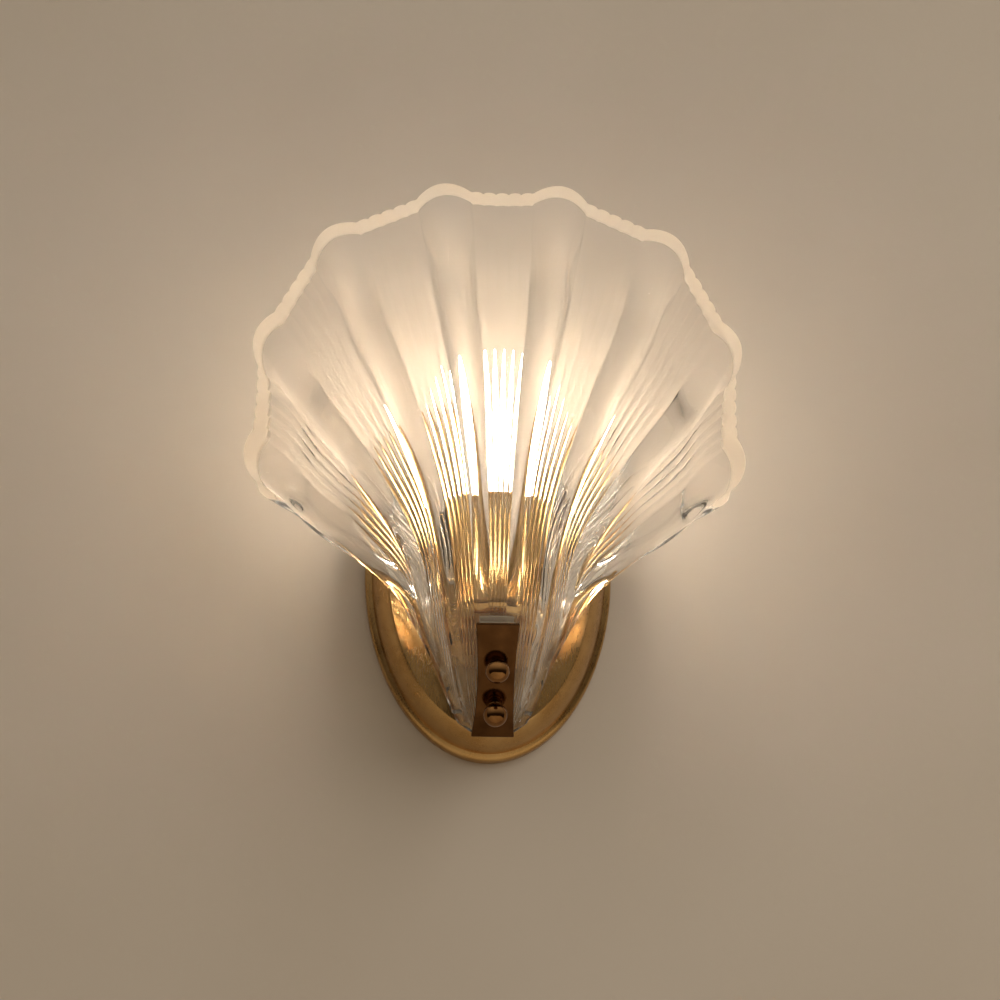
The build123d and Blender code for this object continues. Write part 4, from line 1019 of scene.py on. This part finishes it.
def bulbArcs(shrink):
    # belly, shoulder and tip: three arcs, as in the solids
    c = lamp
    half = (c["glassRadius"] - c["neckRadius"]) / 2
    belly = half + c["wideHeight"] ** 2 / (4 * half)
    rise = c["glassLength"] - c["tipRadius"] - c["wideHeight"]
    shoulder = (c["glassRadius"] ** 2 + rise**2 - c["tipRadius"] ** 2)
    shoulder /= 2 * (c["glassRadius"] - c["tipRadius"])
    start = math.asin(c["wideHeight"] / (belly - shrink))
    meet = math.asin(rise / (shoulder - c["tipRadius"]))
    line = []
    for x, z, radius, low, high in (
            (c["glassRadius"] - belly, c["wideHeight"], belly, -start, 0),
            (c["glassRadius"] - shoulder, c["wideHeight"], shoulder, 0, meet),
            (0, c["glassLength"] - c["tipRadius"], c["tipRadius"], meet, math.pi / 2)):
        line += [(x + (radius - shrink) * math.cos(t), c["capTop"] + z + (radius - shrink) * math.sin(t))
                 for t in np.linspace(low, high, c["arcSteps"])]
    line[-1] = (0, line[-1][1])
    return [(line[0][0], line[0][1] - c["neckLength"])] + line


def makeBulbGlass():
    profile = bulbArcs(0) + bulbArcs(lamp["glassWall"])[::-1]
    rows, segments = len(profile), lamp["glassSegments"]
    points, faces = latheNet(profile, segments, lamp["axis"], (0, 0, 1), closed=False)
    last = (rows - 1) * segments
    faces += [(last + k, last + (k + 1) % segments, (k + 1) % segments, k) for k in range(segments)]
    half = rows // 2
    # the two tips lie on the axis, one wall apart, and aren't joined to each other
    faces = [f for f in faces if not (f[0] // segments == half - 1 and f[3] // segments == half)]
    finishPiece("bulb_glass_blown", meshFrom("bulbGlass", points, faces), "bulb", litBulbGlass,
                "bulb_glass")


makeLampCup()
makeBulbCap()
makeBulbGlass()

camera = {"azimuth": -3.7, "elevation": -17.0, "distance": 1.9, "target": (0.0025, -0.060, 0.0237),
          "lens": 136.8, "sensor": 36.0, "sees": (0.05, 30.0)}


def makeCamera():
    data = bpy.data.cameras.new("photoCamera")
    data.lens = camera["lens"]
    data.sensor_width = camera["sensor"]
    data.clip_start, data.clip_end = camera["sees"]
    eye = bpy.data.objects.new("photoCamera", data)
    scene.collection.objects.link(eye)
    a, e = math.radians(camera["azimuth"]), math.radians(camera["elevation"])
    back = Vector((math.sin(a) * math.cos(e), -math.cos(a) * math.cos(e), math.sin(e)))
    eye.location = Vector(camera["target"]) + back * camera["distance"]
    eye.rotation_euler = (-back).to_track_quat("-Z", "Y").to_euler()
    scene.camera = eye


room = {"wallColour": "#BFB3A3", "wallPatch": "#B8AB9A", "floorColour": "#DCD2C2", "floorPatch": "#D3C7B4",
        "wallHole": (0.060, 0.0945), "wallSide": 3.0, "wallSteps": 96, "wallGap": 0.0004,
        "floorHeight": -1.3,
        "rough": 0.85, "patchMm": 260.0, "stippleMm": 2.5, "stippleDepthMm": 0.03,
        "above": "#F2E9DA", "level": "#4A3D30", "below": "#1C150F", "aboveLevel": 0.75,
        "darkestTo": -0.5, "levelAt": 0.05, "lightestFrom": 0.75}


def plasterMaterial(name, colour, patchColour):
    # Painted plaster: matt emulsion, faint roller stipple; open from behind so that the back can be seen.
    material, tree, shader, place, out = newMaterial(name, {"Roughness": room["rough"]})
    patch = addNode(tree, "ShaderNodeTexNoise", {
        "Vector": place, "Scale": 1000 / room["patchMm"], "Detail": 2.0})
    shade = addNode(tree, "ShaderNodeMapRange", {"Value": patch, "From Min": 0.3, "From Max": 0.7})
    tone = addNode(tree, "ShaderNodeMix", {0: shade, 6: linear(colour), 7: linear(patchColour)},
                   data_type="RGBA")
    stipple = addNode(tree, "ShaderNodeTexNoise", {
        "Vector": place, "Scale": 1000 / room["stippleMm"], "Detail": 3.0})
    relief = addNode(tree, "ShaderNodeBump", {
        "Height": stipple, "Distance": room["stippleDepthMm"] * mm})
    tree.links.new(tone.outputs[2], shader.inputs["Base Color"])
    tree.links.new(relief.outputs[0], shader.inputs["Normal"])
    facing = addNode(tree, "ShaderNodeNewGeometry").outputs["Backfacing"]
    clear = addNode(tree, "ShaderNodeBsdfTransparent")
    mixed = addNode(tree, "ShaderNodeMixShader", {0: facing, 1: shader, 2: clear})
    tree.links.new(mixed.outputs[0], out.inputs["Surface"])
    return material


def makeRoom():
    # the wall has the opening that the backplate covers
    wide, high = room["wallHole"]
    side, steps, gap = room["wallSide"], room["wallSteps"], room["wallGap"]
    hole, edge, faces = [], [], []
    for k in range(steps):
        a = 2 * math.pi * k / steps
        reach = side / max(abs(math.cos(a)), abs(math.sin(a)))
        hole.append((wide * math.cos(a), gap, high * math.sin(a)))
        edge.append((reach * math.cos(a), gap, reach * math.sin(a)))
        n = (k + 1) % steps
        faces.append((k, steps + k, steps + n, n))
    wallMesh = bpy.data.meshes.new("wall")
    wallMesh.from_pydata(hole + edge, [], faces)
    wallMesh.materials.append(plasterMaterial("paintedPlaster", room["wallColour"], room["wallPatch"]))
    if wallMesh.polygons[0].normal.y > 0:
        wallMesh.flip_normals()
    low = room["floorHeight"]
    floorMesh = bpy.data.meshes.new("floor")
    corners = [(-side, -side, low), (side, -side, low), (side, 0.0, low), (-side, 0.0, low)]
    floorMesh.from_pydata(corners, [], [(0, 1, 2, 3)])
    floorMesh.materials.append(plasterMaterial("paleFloor", room["floorColour"], room["floorPatch"]))
    for name, mesh in (("wall", wallMesh), ("floor", floorMesh)):
        item = bpy.data.objects.new(name, mesh)
        scene.collection.objects.link(item)
    # the room is light above, dim at eye level and dark below
    world = bpy.data.worlds.new("roomLight")
    world.use_nodes = True
    tree = world.node_tree
    tree.nodes.clear()
    way = addNode(tree, "ShaderNodeTexCoord").outputs["Generated"]
    height = addNode(tree, "ShaderNodeSeparateXYZ", {0: way}).outputs["Z"]
    upper = addNode(tree, "ShaderNodeMapRange", {
        "Value": height, "From Min": room["levelAt"], "From Max": room["lightestFrom"]})
    lower = addNode(tree, "ShaderNodeMapRange", {
        "Value": height, "From Min": room["darkestTo"], "From Max": room["levelAt"]})
    dim = addNode(tree, "ShaderNodeMix", {0: lower, 6: linear(room["below"]), 7: linear(room["level"])},
                  data_type="RGBA")
    tone = addNode(tree, "ShaderNodeMix", {0: upper, 6: dim.outputs[2], 7: linear(room["above"])},
                   data_type="RGBA")
    backdrop = addNode(tree, "ShaderNodeBackground", {
        "Color": tone.outputs[2], "Strength": room["aboveLevel"]})
    addNode(tree, "ShaderNodeOutputWorld", {"Surface": backdrop})
    scene.world = world


lampsAimAt = Vector((0, -0.05, 0))
lamps = {
    "key": {"place": (1.8, -1.6, 1.1), "size": 3.0, "power": 42.0, "colour": "#FFFBF6"},
    "fill": {"place": (-2.2, -1.8, 0.9), "size": 2.4, "power": 7.0, "colour": "#FFF9F1"},
}


def makeLamps():
    for name, lampSet in lamps.items():
        data = bpy.data.lights.new(name + "Softbox", "AREA")
        data.shape = "DISK"
        data.energy = lampSet["power"]
        data.size = lampSet["size"]
        data.color = linear(lampSet["colour"])[:3]
        item = bpy.data.objects.new(name + "Softbox", data)
        item.visible_glossy = False  # brass and glass show the room, not the lamps
        item.visible_transmission = False
        item.location = lampSet["place"]
        aim = lampsAimAt - Vector(lampSet["place"])
        item.rotation_euler = aim.to_track_quat("-Z", "Y").to_euler()
        scene.collection.objects.link(item)


makeCamera()
makeRoom()
makeLamps()
print("room, lamps and camera ready")
